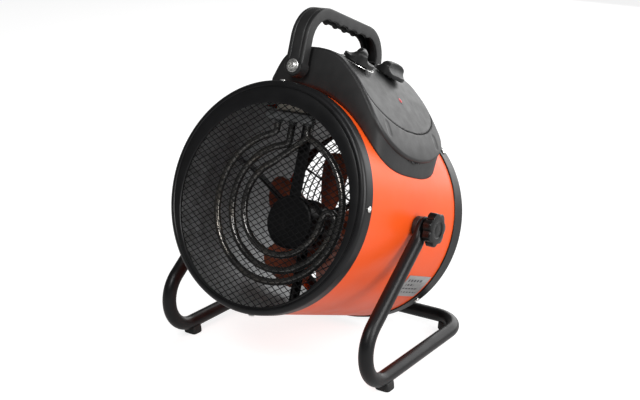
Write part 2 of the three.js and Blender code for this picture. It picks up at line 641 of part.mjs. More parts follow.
// Control knob: a round base, a waisted finger bar across it, and the spindle below.
function controlKnob() {
  const base = rod(KNOB_R, [0, 0, 1.6], [0, 0, KNOB_BASE], 40, KNOB_R - 0.6);
  const flare = 26;
  const waist = 3.2;
  const scoops = [-1, 1].map((s) =>
    rod(flare, [s * (flare + waist), 0, KNOB_BASE], [s * (flare + waist), 0, KNOB_TALL + 2], 40));
  const block = overlap(box(18, 2 * KNOB_R, KNOB_TALL - 2, [0, 0, KNOB_TALL / 2 + 1]),
    rod(KNOB_R - 0.6, [0, 0, 1.8], [0, 0, KNOB_TALL + 2], 40, KNOB_R - 2.2));
  const spindle = rod(3, [0, 0, -16], [0, 0, 3], 12);
  return join(base, cut(block, ...scoops), spindle);
}

// ---------------------------------------------------------------- handle
function archShape(inset, floor) {
  const front = HANDLE_FRONT_Y + inset;
  const rear = HANDLE_REAR_Y - inset;
  const top = HANDLE_TOP_Z - inset;
  const corner = HANDLE_CORNER_R - inset;
  const arch = new THREE.Shape();
  arch.moveTo(front, floor);
  arch.lineTo(front, top - corner);
  arch.absarc(front + corner, top - corner, corner, Math.PI, Math.PI / 2, true);
  arch.absarc(rear - corner, top - corner, corner, Math.PI / 2, 0, true);
  arch.lineTo(rear, floor);
  return arch;
}

function handle() {
  const half = HANDLE_WIDTH / 2;
  const slab = extrudeX(archShape(0, LUG_Z), -half, half);
  const space = extrudeX(archShape(HANDLE_THICK, LUG_Z - 20), -half - 5, half + 5);
  const channel = extrudeX(archShape(4, LUG_Z + 24), -half + 3.5, half - 3.5);
  const ribs = [-30, -10, 10, 30].map((shift) => rod(4, [-half, HOUSING_MID_Y - 14 + shift,
    HANDLE_TOP_Z - HANDLE_THICK + 1], [-half + 3.4, HOUSING_MID_Y - 14 + shift,
    HANDLE_TOP_Z - HANDLE_THICK + 1], 8));
  const bumps = ribs.flatMap((rib) => [rib, rib.clone().translate(2 * half - 3.4, 0, 0)]);
  const lugs = [
    rod(LUG_R, [0, HANDLE_FRONT_Y, LUG_Z], [0, HANDLE_FRONT_Y + HANDLE_THICK, LUG_Z], 28),
    rod(8.5, [0, HANDLE_FRONT_Y + 5, LUG_Z], [0, HOUSING_FRONT_Y - GAP, LUG_Z], 24),
    rod(LUG_R, [0, HANDLE_REAR_Y - HANDLE_THICK, LUG_Z], [0, HANDLE_REAR_Y, LUG_Z], 28),
  ];
  const holes = rod(3.3, [0, HANDLE_FRONT_Y - 5, LUG_Z], [0, HANDLE_REAR_Y + 5, LUG_Z], 12);
  return cut(join(cut(slab, space, channel), ...bumps, ...lugs), holes);
}

// Cap bolt with a broad washer; the shank reaches through the lug into the housing.
function handleBolt(face, inward, reach) {
  const out = -inward;
  const washer = rod(7, [0, face + out * GAP, LUG_Z], [0, face + out * 1.6, LUG_Z], 24);
  const head = rod(4.6, [0, face + out * 1.4, LUG_Z], [0, face + out * 5, LUG_Z], 20, 3.6);
  const shank = rod(3, [0, face + out, LUG_Z], [0, face + inward * reach, LUG_Z], 12);
  return join(washer, head, shank);
}

function addHandle() {
  addPart(drum, 'carry_handle', handle(), BLACK_PLASTIC);
  addPart(drum, 'handle_bolt_front', handleBolt(HANDLE_FRONT_Y, 1, 24), ZINC);
  addPart(drum, 'handle_bolt_rear', handleBolt(HANDLE_REAR_Y, -1, 18), ZINC);
}

// ---------------------------------------------------------------- pivots and clamp knobs
const PADDLE_IN = STAND_HALF - PADDLE / 2;
const PADDLE_OUT = STAND_HALF + PADDLE / 2;
const CLAMP_FACE = 145;

// Star-shaped clamp knob with seven lobes, threaded on the pivot stud.
function clampKnob() {
  const lobes = 7;
  const outline = Array.from({ length: lobes * 4 }, (_, i) => {
    const angle = (2 * Math.PI * i) / (lobes * 4);
    const r = 16.4 + 1.9 * Math.cos(lobes * angle);
    return [r * Math.cos(angle), r * Math.sin(angle)];
  });
  const deep = CLAMP_FACE - PADDLE_OUT - GAP;
  const grip = extrudeX(polygon(outline), PADDLE_OUT + GAP + 2.5 + 1.5, CLAMP_FACE - 1.5,
    { bevelEnabled: true, bevelThickness: 1.5, bevelSize: 1.5, bevelOffset: -1.5, bevelSegments: 1 });
  const boss = rod(9.5, [PADDLE_OUT + GAP, 0, 0], [PADDLE_OUT + GAP + deep / 2, 0, 0], 24);
  const bore = rod(4.3, [PADDLE_OUT - 1, 0, 0], [CLAMP_FACE - 4, 0, 0], 16);
  return cut(join(grip, boss), bore);
}

function addPivots() {
  for (const [name, side] of [['left', -1], ['right', 1]]) {
    const spread = (value) => side * value;
    const stud = join(
      rod(4, [spread(DRUM_R - SHEET - 2), 0, 0], [spread(CLAMP_FACE - 5), 0, 0], 16),
      rod(9, [spread(DRUM_R - SHEET - 3), 0, 0], [spread(DRUM_R - SHEET - 1.2), 0, 0], 20));
    addPart(drum, `pivot_stud_${name}`, stud, ZINC);
    const spacer = cut(rod(11, [spread(110), 0, 0], [spread(PADDLE_IN - GAP), 0, 0], 28),
      rod(DRUM_R + GAP, [0, -20, 0], [0, 20, 0], ROUND),
      rod(4.3, [spread(100), 0, 0], [spread(140), 0, 0], 16));
    addPart(drum, `pivot_spacer_${name}`, spacer, BLACK_PLASTIC);
    const turn = side < 0 ? [0, Math.PI, 0] : [0, 0, 0];
    addPart(drum, `clamp_knob_${name}`, clampKnob(), KNOB_PLASTIC, { turn });
  }
}

// Blank foil rating plate that follows the lower right of the drum.
function ratingLabel() {
  const [inner, outer] = [DRUM_R + GAP, DRUM_R + GAP + 0.4];
  const [from, to] = [THREE.MathUtils.degToRad(117), THREE.MathUtils.degToRad(132)];
  const steps = Array.from({ length: 7 }, (_, i) => from + ((to - from) * i) / 6);
  const side = (r, list) => list.map((angle) => [r * Math.sin(angle), r * Math.cos(angle)]);
  return extrudeY(polygon([...side(inner, steps), ...side(outer, [...steps].reverse())]), 33, 84);
}

// ---------------------------------------------------------------- build
addStand();
addFeet();
addDrum();
addLinerBrackets();
addRingScrews();
addElements();
addMotor();
addPart(motorMount, 'fan_rotor', fanRotor(), FAN_PAINT);
addHousing();
addControls();
const restTurn = THREE.MathUtils.degToRad(38);
const controlKnobs = [['thermostat_knob', THERMOSTAT_AT, restTurn], ['selector_knob', SELECTOR_AT, 0]];
for (const [name, at, turn] of controlKnobs) {
  addPart(drum, name, controlKnob().rotateZ(turn).rotateY(KNOB_LEAN), KNOB_PLASTIC, { at });
}
addHandle();
addPivots();
addPart(drum, 'rating_label', ratingLabel(), LABEL_FOIL);

export default heater;
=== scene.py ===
"""Portable electric drum heater on a bent-tube stand: looks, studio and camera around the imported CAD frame.

Pieces are drawn in millimetres in the frame of what carries them (the stand, the level drum or its duct)
and then placed in the row frame with that carrier's matrix.
"""
import json
import math

import bmesh
import bpy
import numpy as np
from mathutils import Matrix, Vector


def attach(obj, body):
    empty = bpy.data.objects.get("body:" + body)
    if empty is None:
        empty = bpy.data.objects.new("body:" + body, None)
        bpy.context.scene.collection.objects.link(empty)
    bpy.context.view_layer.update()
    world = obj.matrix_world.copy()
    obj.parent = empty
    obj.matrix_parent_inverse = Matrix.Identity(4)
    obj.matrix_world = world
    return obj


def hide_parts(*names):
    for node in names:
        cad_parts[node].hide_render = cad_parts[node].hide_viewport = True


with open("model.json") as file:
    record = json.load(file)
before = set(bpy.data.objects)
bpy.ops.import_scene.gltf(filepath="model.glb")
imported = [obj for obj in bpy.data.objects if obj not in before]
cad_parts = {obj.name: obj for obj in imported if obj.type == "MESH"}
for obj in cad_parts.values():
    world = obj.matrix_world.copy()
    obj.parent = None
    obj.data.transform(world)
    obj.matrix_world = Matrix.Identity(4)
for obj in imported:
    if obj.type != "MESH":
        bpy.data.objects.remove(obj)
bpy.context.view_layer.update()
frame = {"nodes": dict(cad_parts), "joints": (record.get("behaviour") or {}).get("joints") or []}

# ---------------------------------------------------------------- carriers, placed from the frame's joints
DUCT_DROP = 7.5
MOTOR_DROP = 14.0
joints = {joint["name"]: joint for joint in frame["joints"]}
PIVOT = Vector(joints["drum_tilt"]["pos_m"])
DRUM_AXIS = Vector(joints["fan_spin"]["axis"])
TILT = math.atan2(-DRUM_AXIS.z, DRUM_AXIS.y)
MM = Matrix.Scale(0.001, 4)
STAND = Matrix.Translation((0, PIVOT.y, 0)) @ MM
DRUM = Matrix.Translation(PIVOT) @ Matrix.Rotation(-TILT, 4, "X") @ MM
DUCT = DRUM @ Matrix.Translation((0, 0, -DUCT_DROP))
MOUNT = DUCT @ Matrix.Translation((0, 0, -MOTOR_DROP))
PIVOT_Z = PIVOT.z * 1000
UPRIGHT = Matrix.Rotation(math.pi / 2, 4, "X")

# ---------------------------------------------------------------- driving dimensions, millimetres
DRUM_R = 118.5
RING_R = 120.0
FRONT_Y = -115.5
REAR_Y = 109.5
OUTLET_R = 104.0
DUCT_R = 106.0
TUBE_R = 7.7
STAND_HALF = 128.0
ARM_END_R = 11.6
FRONT_BEND_R = 36.0
REAR_BEND_R = 34.0
RAIL_Z = 13.8
RAIL_FRONT_Y = -76.0
CROSSBAR_Y = 99.0
HOUSING_FRONT_Y = -88.0
HOUSING_REAR_Y = 63.0
HOUSING_MID_Y = (HOUSING_FRONT_Y + HOUSING_REAR_Y) / 2
LUG_Z = 137.0
KNOB_R = 17.3
KNOB_TALL = 16.9
FAN_Y = 14.0
BLADE_START = math.radians(20)
BLADES = 5
OUTER_ELEMENT_Y = -84.0
INNER_ELEMENT_Y = -74.0
ELEMENT_TOP_Z = 94.0
HANDLE_FRONT_Y = -105.0
HANDLE_REAR_Y = 51.0
CLAMP_X = 130.8
SHARP = 38.0
TAU = 2 * math.pi


# ---------------------------------------------------------------- shapes: (points, faces) pairs
def merge(*shapes):
    """Several shapes as one."""
    points, faces, start = [], [], 0
    for some_points, some_faces in shapes:
        points.append(np.asarray(some_points, float))
        faces += [tuple(start + corner for corner in face) for face in some_faces]
        start += len(some_points)
    return np.concatenate(points), faces


def moved(shape, matrix):
    """The shape carried by a 4x4 matrix."""
    points, faces = shape
    turn = np.array(matrix)
    return np.asarray(points) @ turn[:3, :3].T + turn[:3, 3], faces


def skin(rows, round_rows=False, round_columns=False, caps=False):
    """Quads over a 2-D array of points, closed round either way, with flat ends if asked."""
    rows = np.asarray(rows, float)
    count, width = rows.shape[:2]
    faces = []
    for i in range(count if round_rows else count - 1):
        j = (i + 1) % count
        for k in range(width if round_columns else width - 1):
            m = (k + 1) % width
            faces.append((i * width + k, i * width + m, j * width + m, j * width + k))
    if caps:
        faces.append(tuple(range(width - 1, -1, -1)))
        faces.append(tuple((count - 1) * width + k for k in range(width)))
    return rows.reshape(-1, 3), faces


def full_turn(steps):
    """Even angles once round, without the last."""
    return np.linspace(0, TAU, steps, endpoint=False)


def run_length(path):
    """Distance along a path to each of its points."""
    return np.concatenate([[0], np.cumsum(np.linalg.norm(np.diff(path, axis=0), axis=1))])


def lathe(outline, steps=192):
    """Turns a closed outline of (radius, y) or (radius, y, rise) about the Y axis."""
    turn = full_turn(steps)
    rows = []
    for point in outline:
        radius, y = point[:2]
        rise = point[2] if len(point) > 2 else 0
        level = np.full(steps, float(y))
        rows.append(np.stack([radius * np.sin(turn), level, radius * np.cos(turn) + rise], 1))
    return skin(rows, round_rows=True, round_columns=True)


def lathe_up(outline, steps=64):
    """Turns a closed outline of (radius, height) about the Z axis."""
    return moved(lathe(outline, steps), UPRIGHT)


def rounded(outline, radius, steps=5):
    """A closed 2-D outline with every corner replaced by a small curve."""
    outline = np.asarray(outline, float)
    smooth = []
    for i, corner in enumerate(outline):
        before = outline[i - 1] - corner
        after = outline[(i + 1) % len(outline)] - corner
        size = min(radius, 0.45 * np.linalg.norm(before), 0.45 * np.linalg.norm(after))
        start = corner + before / np.linalg.norm(before) * size
        end = corner + after / np.linalg.norm(after) * size
        for t in np.linspace(0, 1, steps):
            smooth.append((1 - t) ** 2 * start + 2 * t * (1 - t) * corner + t ** 2 * end)
    return np.array(smooth)


def frames_along(path, first):
    """Two cross directions at each point of a path, turning as little as possible along it."""
    tangents = np.gradient(path, axis=0)
    tangents /= np.linalg.norm(tangents, axis=1)[:, None]
    side = np.array(first, float)
    sides = []
    for tangent in tangents:
        side = side - (side @ tangent) * tangent
        side /= np.linalg.norm(side)
        sides.append(side.copy())
    sides = np.array(sides)
    return sides, np.cross(tangents, sides)


def sweep(path, section, first):
    """Carries a closed 2-D section, or one section for each path point, along the path."""
    path = np.asarray(path, float)
    sides, ups = frames_along(path, first)
    section = np.asarray(section, float)
    if section.ndim == 2:
        section = np.repeat(section[None], len(path), 0)
    rows = path[:, None] + section[:, :, :1] * sides[:, None] + section[:, :, 1:] * ups[:, None]
    return skin(rows, round_columns=True, caps=True)


def circle(radius, sides=16):
    turn = full_turn(sides)
    return np.stack([radius * np.cos(turn), radius * np.sin(turn)], 1)


def arc(centre, radius, across, up, start, end, steps):
    turn = np.linspace(start, end, steps)[:, None]
    return np.asarray(centre) + radius * (np.cos(turn) * np.asarray(across) + np.sin(turn) * np.asarray(up))


def evenly(path, spacing):
    """The same path with points at an even spacing."""
    path = np.asarray(path, float)
    steps = np.linalg.norm(np.diff(path, axis=0), axis=1)
    keep = np.concatenate([[True], steps > 1e-6])
    path = path[keep]
    length = run_length(path)
    places = np.linspace(0, length[-1], max(2, round(length[-1] / spacing) + 1))
    return np.stack([np.interp(places, length, path[:, k]) for k in range(path.shape[1])], 1)


def softened(path, rounds=6):
    """Eases the corners where straight and curved stretches meet."""
    path = np.array(path, float)
    for _ in range(rounds):
        path[1:-1] = 0.25 * path[:-2] + 0.5 * path[1:-1] + 0.25 * path[2:]
    return path


def rod(radius, start, end, edge=0.5, sides=32):
    """A round bar. Inside its rim the first end has a small groove and the far end is dished."""
    start, end = np.asarray(start, float), np.asarray(end, float)
    along = (end - start) / np.linalg.norm(end - start)
    side = np.cross(along, (0.31, 0.52, 0.79))
    side /= np.linalg.norm(side)
    up = np.cross(along, side)
    turn = full_turn(sides)[:, None]
    ring = np.cos(turn) * side + np.sin(turn) * up
    insets = edge * (1 - np.sin(np.linspace(0, math.pi / 2, 4)))
    rows = [start + along * inset + ring * (radius - inset) for inset in insets]
    rows[0] = start + ring * (radius - edge)
    rows += [end - along * inset + ring * (radius - inset) for inset in insets[::-1]]
    return skin(rows, round_columns=True, caps=True)


def slab(size, centre, edge=0.6):
    """A box with rounded upright edges and chamfered rims."""
    x, y, z = (value / 2 for value in size)
    edge = min(edge, 0.45 * min(size))
    rows = []
    for level, inset in ((-z, edge), (-z + edge, 0), (z - edge, 0), (z, edge)):
        across, deep = x - inset, y - inset
        corners = [(-across, -deep), (across, -deep), (across, deep), (-across, deep)]
        loop = rounded(corners, edge, 4)
        rows.append(np.column_stack([loop, np.full(len(loop), level)]))
    points, faces = skin(rows, round_columns=True, caps=True)
    return points + np.asarray(centre, float), faces


def relief(outline, base, height, rings=24, steps=96):
    """A round block whose top follows height(x, y); outline(angle) gives its radius. Local +Z is up."""
    foot_taper, foot_tall, rim_round, rim_drop = 0.96, 0.5, 0.9, 0.8
    turn = full_turn(steps)
    reach = np.array([outline(angle) for angle in turn])
    across, up = reach * np.cos(turn), reach * np.sin(turn)
    rim = height(across, up)
    rows = [np.stack([across * foot_taper, up * foot_taper, np.full(steps, base)], 1),
            np.stack([across, up, np.full(steps, base + foot_tall)], 1)]
    for share in (0.25, 0.5, 0.75):
        rows.append(np.stack([across, up, base + foot_tall + share * (rim - 1.0 - base)], 1))
    for fraction in (1 - np.linspace(0, 1, rings) ** 1.25)[:-1]:
        x, y = across * fraction, up * fraction
        edge = np.clip((1 - fraction) * reach / rim_round, 0, 1)
        drop = rim_drop * (1 - np.sqrt(1 - (1 - edge) ** 2))
        rows.append(np.stack([x, y, height(x, y) - drop], 1))
    points, faces = skin(rows, round_columns=True)
    faces.append(tuple(range(steps - 1, -1, -1)))
    tip = len(points)
    last = tip - steps
    middle = np.array([[0, 0, float(height(np.zeros(1), np.zeros(1))[0])]])
    faces += [(last + k, last + (k + 1) % steps, tip) for k in range(steps)]
    return np.concatenate([points, middle]), faces


def smoothstep(low, high, value):
    t = np.clip((value - low) / (high - low), 0, 1)
    return t * t * (3 - 2 * t)


def facing(at, direction, spin=0.0):
    """A matrix that stands local +Z along a direction at a point, in millimetres."""
    turn = Vector(direction).to_track_quat("Z", "Y").to_matrix().to_4x4()
    return Matrix.Translation(Vector(at)) @ turn @ Matrix.Rotation(spin, 4, "Z")


# ---------------------------------------------------------------- pieces
def piece(name, shape, place, body, material, replaces=(), sharp=SHARP):
    """Makes one visible piece, ties it to its body and hides the CAD nodes it stands for."""
    points, faces = moved(shape, place)
    mesh = bpy.data.meshes.new(name)
    mesh.from_pydata(points.tolist(), [], faces)
    mesh.validate()
    for one in material if isinstance(material, (list, tuple)) else [material]:
        mesh.materials.append(one)
    mesh.polygons.foreach_set("use_smooth", [True] * len(mesh.polygons))
    obj = bpy.data.objects.new(name, mesh)
    bpy.context.scene.collection.objects.link(obj)
    face_out(mesh)
    mesh.set_sharp_from_angle(angle=math.radians(sharp))
    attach(obj, body)
    if replaces:
        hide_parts(*replaces)
    return obj


def face_out(mesh):
    """Turns every face of a closed mesh outwards."""
    solid = bmesh.new()
    solid.from_mesh(mesh)
    bmesh.ops.recalc_face_normals(solid, faces=solid.faces)
    solid.to_mesh(mesh)
    solid.free()


def carved(obj, *cutters):
    """Cuts shapes, given in world metres, out of a piece for good."""
    for points, faces in cutters:
        mesh = bpy.data.meshes.new("cutter")
        mesh.from_pydata(points.tolist(), [], faces)
        face_out(mesh)
        tool = bpy.data.objects.new("cutter", mesh)
        bpy.context.scene.collection.objects.link(tool)
        modifier = obj.modifiers.new("cut", "BOOLEAN")
        modifier.object = tool
        modifier.operation = "DIFFERENCE"
        modifier.solver = "EXACT"
        bpy.context.view_layer.update()
        seen = obj.evaluated_get(bpy.context.evaluated_depsgraph_get())
        result = bpy.data.meshes.new_from_object(seen)
        obj.modifiers.remove(modifier)
        old = obj.data
        obj.data = result
        bpy.data.meshes.remove(old)
        bpy.data.objects.remove(tool)
        bpy.data.meshes.remove(mesh)
    obj.data.set_sharp_from_angle(angle=math.radians(SHARP))


# ---------------------------------------------------------------- materials
class Nodes:
    """A small helper round one material's node tree."""

    def __init__(self, name):
        self.material = bpy.data.materials.new(name)
        self.material.use_nodes = True
        self.tree = self.material.node_tree
        self.shader = self.tree.nodes["Principled BSDF"]
        coordinates = self.tree.nodes.new("ShaderNodeTexCoord")
        self.place = coordinates.outputs["Object"]

    def link(self, source, target):
        self.tree.links.new(source, target)

    def set(self, **values):
        for key, value in values.items():
            self.shader.inputs[key.replace("_", " ")].default_value = value

    def noise(self, scale, detail=3.0, place=None):
        node = self.tree.nodes.new("ShaderNodeTexNoise")
        node.inputs["Scale"].default_value = scale
        node.inputs["Detail"].default_value = detail
        node.inputs["Roughness"].default_value = 0.55
        self.link(place or self.place, node.inputs["Vector"])
        return node.outputs["Fac"]

    def cells(self, scale, output="Color"):
        node = self.tree.nodes.new("ShaderNodeTexVoronoi")
        node.inputs["Scale"].default_value = scale
        self.link(self.place, node.inputs["Vector"])
        return node.outputs[output]

    def stretched(self, scale):
        node = self.tree.nodes.new("ShaderNodeMapping")
        node.inputs["Scale"].default_value = scale
        self.link(self.place, node.inputs["Vector"])
        return node.outputs["Vector"]

    def ramp(self, source, *stops):
        node = self.tree.nodes.new("ShaderNodeValToRGB")
        while len(node.color_ramp.elements) < len(stops):
            node.color_ramp.elements.new(0.5)
        for element, (position, colour) in zip(node.color_ramp.elements, stops):
            element.position = position
            element.color = (*colour, 1)
        self.link(source, node.inputs["Fac"])
        return node.outputs["Color"]

    def spread(self, source, low, high):
        node = self.tree.nodes.new("ShaderNodeMapRange")
        node.inputs["From Min"].default_value = 0.3
        node.inputs["From Max"].default_value = 0.7
        node.inputs["To Min"].default_value = low
        node.inputs["To Max"].default_value = high
        self.link(source, node.inputs["Value"])
        return node.outputs["Result"]

    def bump(self, source, strength, distance):
        node = self.tree.nodes.new("ShaderNodeBump")
        node.inputs["Strength"].default_value = strength
        node.inputs["Distance"].default_value = distance
        self.link(source, node.inputs["Height"])
        return node.outputs["Normal"]

    def out(self, socket, name):
        self.link(socket, self.shader.inputs[name])


def shades(colour, low, high):
    return tuple(channel * low for channel in colour), tuple(channel * high for channel in colour)


def plain_finish(name, colour, rough, *, metallic=0.0, mottle=18.0, contrast=0.12, grain=900.0,
                 relief_mm=0.05, strength=0.2, rough_spread=0.06, specular=0.5):
    """Paint or moulded plastic: soft colour mottling, uneven gloss and a fine surface texture."""
    n = Nodes(name)
    dark, light = shades(colour, 1 - contrast, 1 + contrast)
    n.out(n.ramp(n.noise(mottle, 4), (0.3, dark), (0.7, light)), "Base Color")
    n.out(n.spread(n.noise(mottle * 4, 3), rough - rough_spread, rough + rough_spread), "Roughness")
    n.out(n.bump(n.noise(grain, 2), strength, relief_mm / 1000), "Normal")
    n.set(Metallic=metallic, Specular_IOR_Level=specular)
    return n.material


def orange_paint():
    return plain_finish("orange_powder_coat", (0.8, 0.088, 0.01), 0.36, mottle=9, contrast=0.05, grain=650,
                        relief_mm=0.05, strength=0.22, rough_spread=0.05, specular=0.3)


def black_paint():
    return plain_finish("black_powder_coat", (0.006, 0.006, 0.0065), 0.36, mottle=14, contrast=0.25,
                        grain=750, relief_mm=0.04, strength=0.16, rough_spread=0.05, specular=0.28)


def black_plastic():
    return plain_finish("black_moulded_plastic", (0.011, 0.011, 0.0112), 0.48, mottle=22, contrast=0.14,
                        grain=1500, relief_mm=0.04, strength=0.32, rough_spread=0.05)


def knob_plastic():
    return plain_finish("knob_plastic", (0.008, 0.0083, 0.0083), 0.42, mottle=40, contrast=0.2, grain=2100,
                        relief_mm=0.03, strength=0.3, rough_spread=0.07, specular=0.4)


def glossy_knob_plastic():
    return plain_finish("glossy_knob_plastic", (0.005, 0.005, 0.005), 0.24, mottle=50, contrast=0.25,
                        grain=1600, relief_mm=0.02, strength=0.15, rough_spread=0.05, specular=0.25)


def rubber():
    return plain_finish("black_rubber", (0.008, 0.008, 0.008), 0.7, mottle=60, contrast=0.3, grain=1700,
                        relief_mm=0.06, strength=0.4, rough_spread=0.08)


def zinc():
    return plain_finish("zinc_plate", (0.78, 0.78, 0.76), 0.27, metallic=1, mottle=160, contrast=0.1,
                        grain=1800, relief_mm=0.02, strength=0.25, rough_spread=0.1)


def ceramic():
    return plain_finish("steatite", (0.74, 0.69, 0.6), 0.55, mottle=70, contrast=0.08, grain=1200,
                        relief_mm=0.05, strength=0.3)


def motor_steel():
    return plain_finish("motor_black", (0.022, 0.022, 0.024), 0.4, metallic=0.4, mottle=50, contrast=0.25,
                        grain=900, relief_mm=0.05, strength=0.25)


def fan_paint():
    """Red-brown primer with darker heat marks and a dusty bloom."""
    n = Nodes("red_brown_primer")
    n.out(n.ramp(n.noise(28, 5), (0.3, (0.15, 0.03, 0.012)), (0.55, (0.30, 0.06, 0.022)),
                 (0.75, (0.38, 0.10, 0.04))), "Base Color")
    n.out(n.spread(n.noise(120, 3), 0.4, 0.62), "Roughness")
    n.out(n.bump(n.noise(900, 2), 0.25, 0.00006), "Normal")
    return n.material


def galvanised():
    """Zinc-dipped sheet: crystal patches with their own shade and gloss."""
    n = Nodes("galvanised_sheet")
    patches = n.cells(150)
    n.out(n.ramp(patches, (0.1, (0.15, 0.154, 0.154)), (0.9, (0.27, 0.275, 0.28))), "Base Color")
    n.out(n.spread(patches, 0.44, 0.58), "Roughness")
    n.out(n.bump(n.noise(420, 3), 0.14, 0.0001), "Normal")
    n.set(Metallic=0.6)
    return n.material


def element_steel():
    """Tubular element sheath: dark oxide with brown and blue heat tints along its length."""
    n = Nodes("heat_stained_sheath")
    n.out(n.ramp(n.noise(34, 4), (0.25, (0.09, 0.088, 0.085)), (0.5, (0.17, 0.165, 0.16)),
                 (0.66, (0.2, 0.18, 0.155)), (0.8, (0.12, 0.125, 0.14))), "Base Color")
    n.out(n.spread(n.noise(160, 3), 0.16, 0.28), "Roughness")
    n.out(n.bump(n.noise(1400, 2), 0.2, 0.00004), "Normal")
    n.set(Metallic=0.9)
    return n.material


def red_lens():
    n = Nodes("red_lamp_lens")
    n.out(n.ramp(n.noise(700, 2), (0.35, (0.30, 0.006, 0.012)), (0.65, (0.46, 0.02, 0.025))), "Base Color")
    n.out(n.spread(n.noise(500, 2), 0.34, 0.46), "Roughness")
    n.out(n.bump(n.cells(900, "Distance"), 0.3, 0.0001), "Normal")
    n.set(Specular_IOR_Level=0.2)
    return n.material


def label_foil():
    """Satin foil with a faint roll direction."""
    n = Nodes("silver_foil")
    brushed = n.noise(500, 3, place=n.stretched((1, 0.06, 1)))
    n.out(n.ramp(brushed, (0.3, (0.34, 0.34, 0.34)), (0.7, (0.47, 0.47, 0.465))), "Base Color")
    n.out(n.spread(brushed, 0.34, 0.5), "Roughness")
    n.out(n.bump(brushed, 0.1, 0.00002), "Normal")
    n.set(Metallic=0.55)
    return n.material


def printed_ink():
    return plain_finish("printed_ink", (0.05, 0.05, 0.055), 0.5, mottle=300, contrast=0.3, grain=2500,
                        relief_mm=0.01)


ORANGE, BLACK, PLASTIC, KNOB = orange_paint(), black_paint(), black_plastic(), knob_plastic()
STAR_KNOB = glossy_knob_plastic()
RUBBER, ZINC, CERAMIC, MOTOR = rubber(), zinc(), ceramic(), motor_steel()
PRIMER, GALVANISED, ELEMENT = fan_paint(), galvanised(), element_steel()
LENS, FOIL, INK = red_lens(), label_foil(), printed_ink()


# ---------------------------------------------------------------- stand
def arm_path(side):
    """From just past the pivot forwards and down, round the front bend and back along the floor rail."""
    x = side * STAND_HALF
    bend = np.array((x, RAIL_FRONT_Y, RAIL_Z + FRONT_BEND_R))
    pivot = np.array((x, 0.0, PIVOT_Z))
    to_bend = bend - pivot
    distance = np.linalg.norm(to_bend)
    heading = math.atan2(to_bend[2], to_bend[1]) - math.asin(FRONT_BEND_R / distance)
    along = np.array((0, math.cos(heading), math.sin(heading)))
    touch = pivot + along * math.sqrt(distance ** 2 - FRONT_BEND_R ** 2)
    start = math.atan2(touch[2] - bend[2], touch[1] - bend[1])
    end = 1.5 * math.pi if start > 0 else -0.5 * math.pi
    corner = (side * (STAND_HALF - REAR_BEND_R), CROSSBAR_Y - REAR_BEND_R, RAIL_Z)
    return np.concatenate([
        np.linspace(pivot - along * ARM_END_R, touch, 40),
        arc(bend, FRONT_BEND_R, (0, 1, 0), (0, 0, 1), start, end, 40),
        np.linspace((x, RAIL_FRONT_Y, RAIL_Z), (x, CROSSBAR_Y - REAR_BEND_R, RAIL_Z), 30),
        arc(corner, REAR_BEND_R, (side, 0, 0), (0, 1, 0), 0, math.pi / 2, 28)])


def add_stand():
    """One tube from arm end to arm end, pressed flat and rounded off at the pivots."""
    flat_half_thick, flat_half_wide = 2.5, 12.0
    path = evenly(np.concatenate([arm_path(-1), arm_path(1)[::-1]]), 1.6)
    length = run_length(path)
    from_end = np.minimum(length, length[-1] - length)
    flat = 1 - smoothstep(13, 33, from_end)
    nose = np.sqrt(np.clip(1 - (1 - np.clip(from_end / ARM_END_R, 0, 1)) ** 2, 0.004, 1))
    thick = TUBE_R + (flat_half_thick - TUBE_R) * flat
    wide = (TUBE_R + (flat_half_wide - TUBE_R) * flat) * nose
    turn = full_turn(32)
    square = 1 - 0.45 * flat[:, None]
    cos = np.sign(np.cos(turn)) * np.abs(np.cos(turn)) ** square
    sin = np.sign(np.sin(turn)) * np.abs(np.sin(turn)) ** square
    section = np.stack([thick[:, None] * cos, wide[:, None] * sin], 2)
    piece("bent_tube_stand", sweep(path, section, first=(1, 0, 0)), STAND, "stand", BLACK,
          ["stand_tube"], sharp=50)


def foot_shape():
    """A tapered rubber block with a rounded rim and a flat top."""
    rows = []
    profile = ((0, -1.4), (0.5, -0.5), (1.4, 0), (6.0, -0.2), (9.2, -0.6), (10.2, -1.2), (10.6, -2.2))
    for height, grow in profile:
        loop = rounded([(-8.6, -7.4), (8.6, -7.4), (8.6, 7.4), (-8.6, 7.4)], 4.5, 8)
        scale = 1 + grow / 8.0
        rows.append(np.column_stack([loop * scale, np.full(len(loop), height)]))
    return skin(rows, round_columns=True, caps=True)


def add_feet():
    bend_at = math.radians(64)
    for name, side in (("left", -1), ("right", 1)):
        front = Matrix.Translation((side * STAND_HALF, RAIL_FRONT_Y + 2, 0))
        rear_x = side * (STAND_HALF - REAR_BEND_R + REAR_BEND_R * math.cos(bend_at))
        rear_y = CROSSBAR_Y - REAR_BEND_R + REAR_BEND_R * math.sin(bend_at)
        turn = Matrix.Rotation(bend_at if side > 0 else math.pi - bend_at, 4, "Z")
        rear = Matrix.Translation((rear_x, rear_y, 0)) @ turn
        for end, place in (("front", front), ("rear", rear)):
            piece(f"rubber_foot_{end}_{name}", foot_shape(), STAND @ place, "stand", RUBBER,
                  [f"foot_{end}_{name}"])


# ---------------------------------------------------------------- drum, rings and grilles
def add_drum():
    outline = [(DRUM_R - 1.2, FRONT_Y + 2.6), (DRUM_R, FRONT_Y + 2.6), (DRUM_R, REAR_Y - 2.4),
               (DRUM_R - 1.2, REAR_Y - 2.4)]
    piece("drum_skin", lathe(outline, 256), DRUM, "drum", ORANGE, ["drum_shell"])


def corner_arc(radius, y, size, start, end, steps=8):
    """Points of a rounded corner in (radius, y)."""
    turn = np.linspace(math.radians(start), math.radians(end), steps)
    return [(radius + size * math.cos(t), y + size * math.sin(t)) for t in turn]


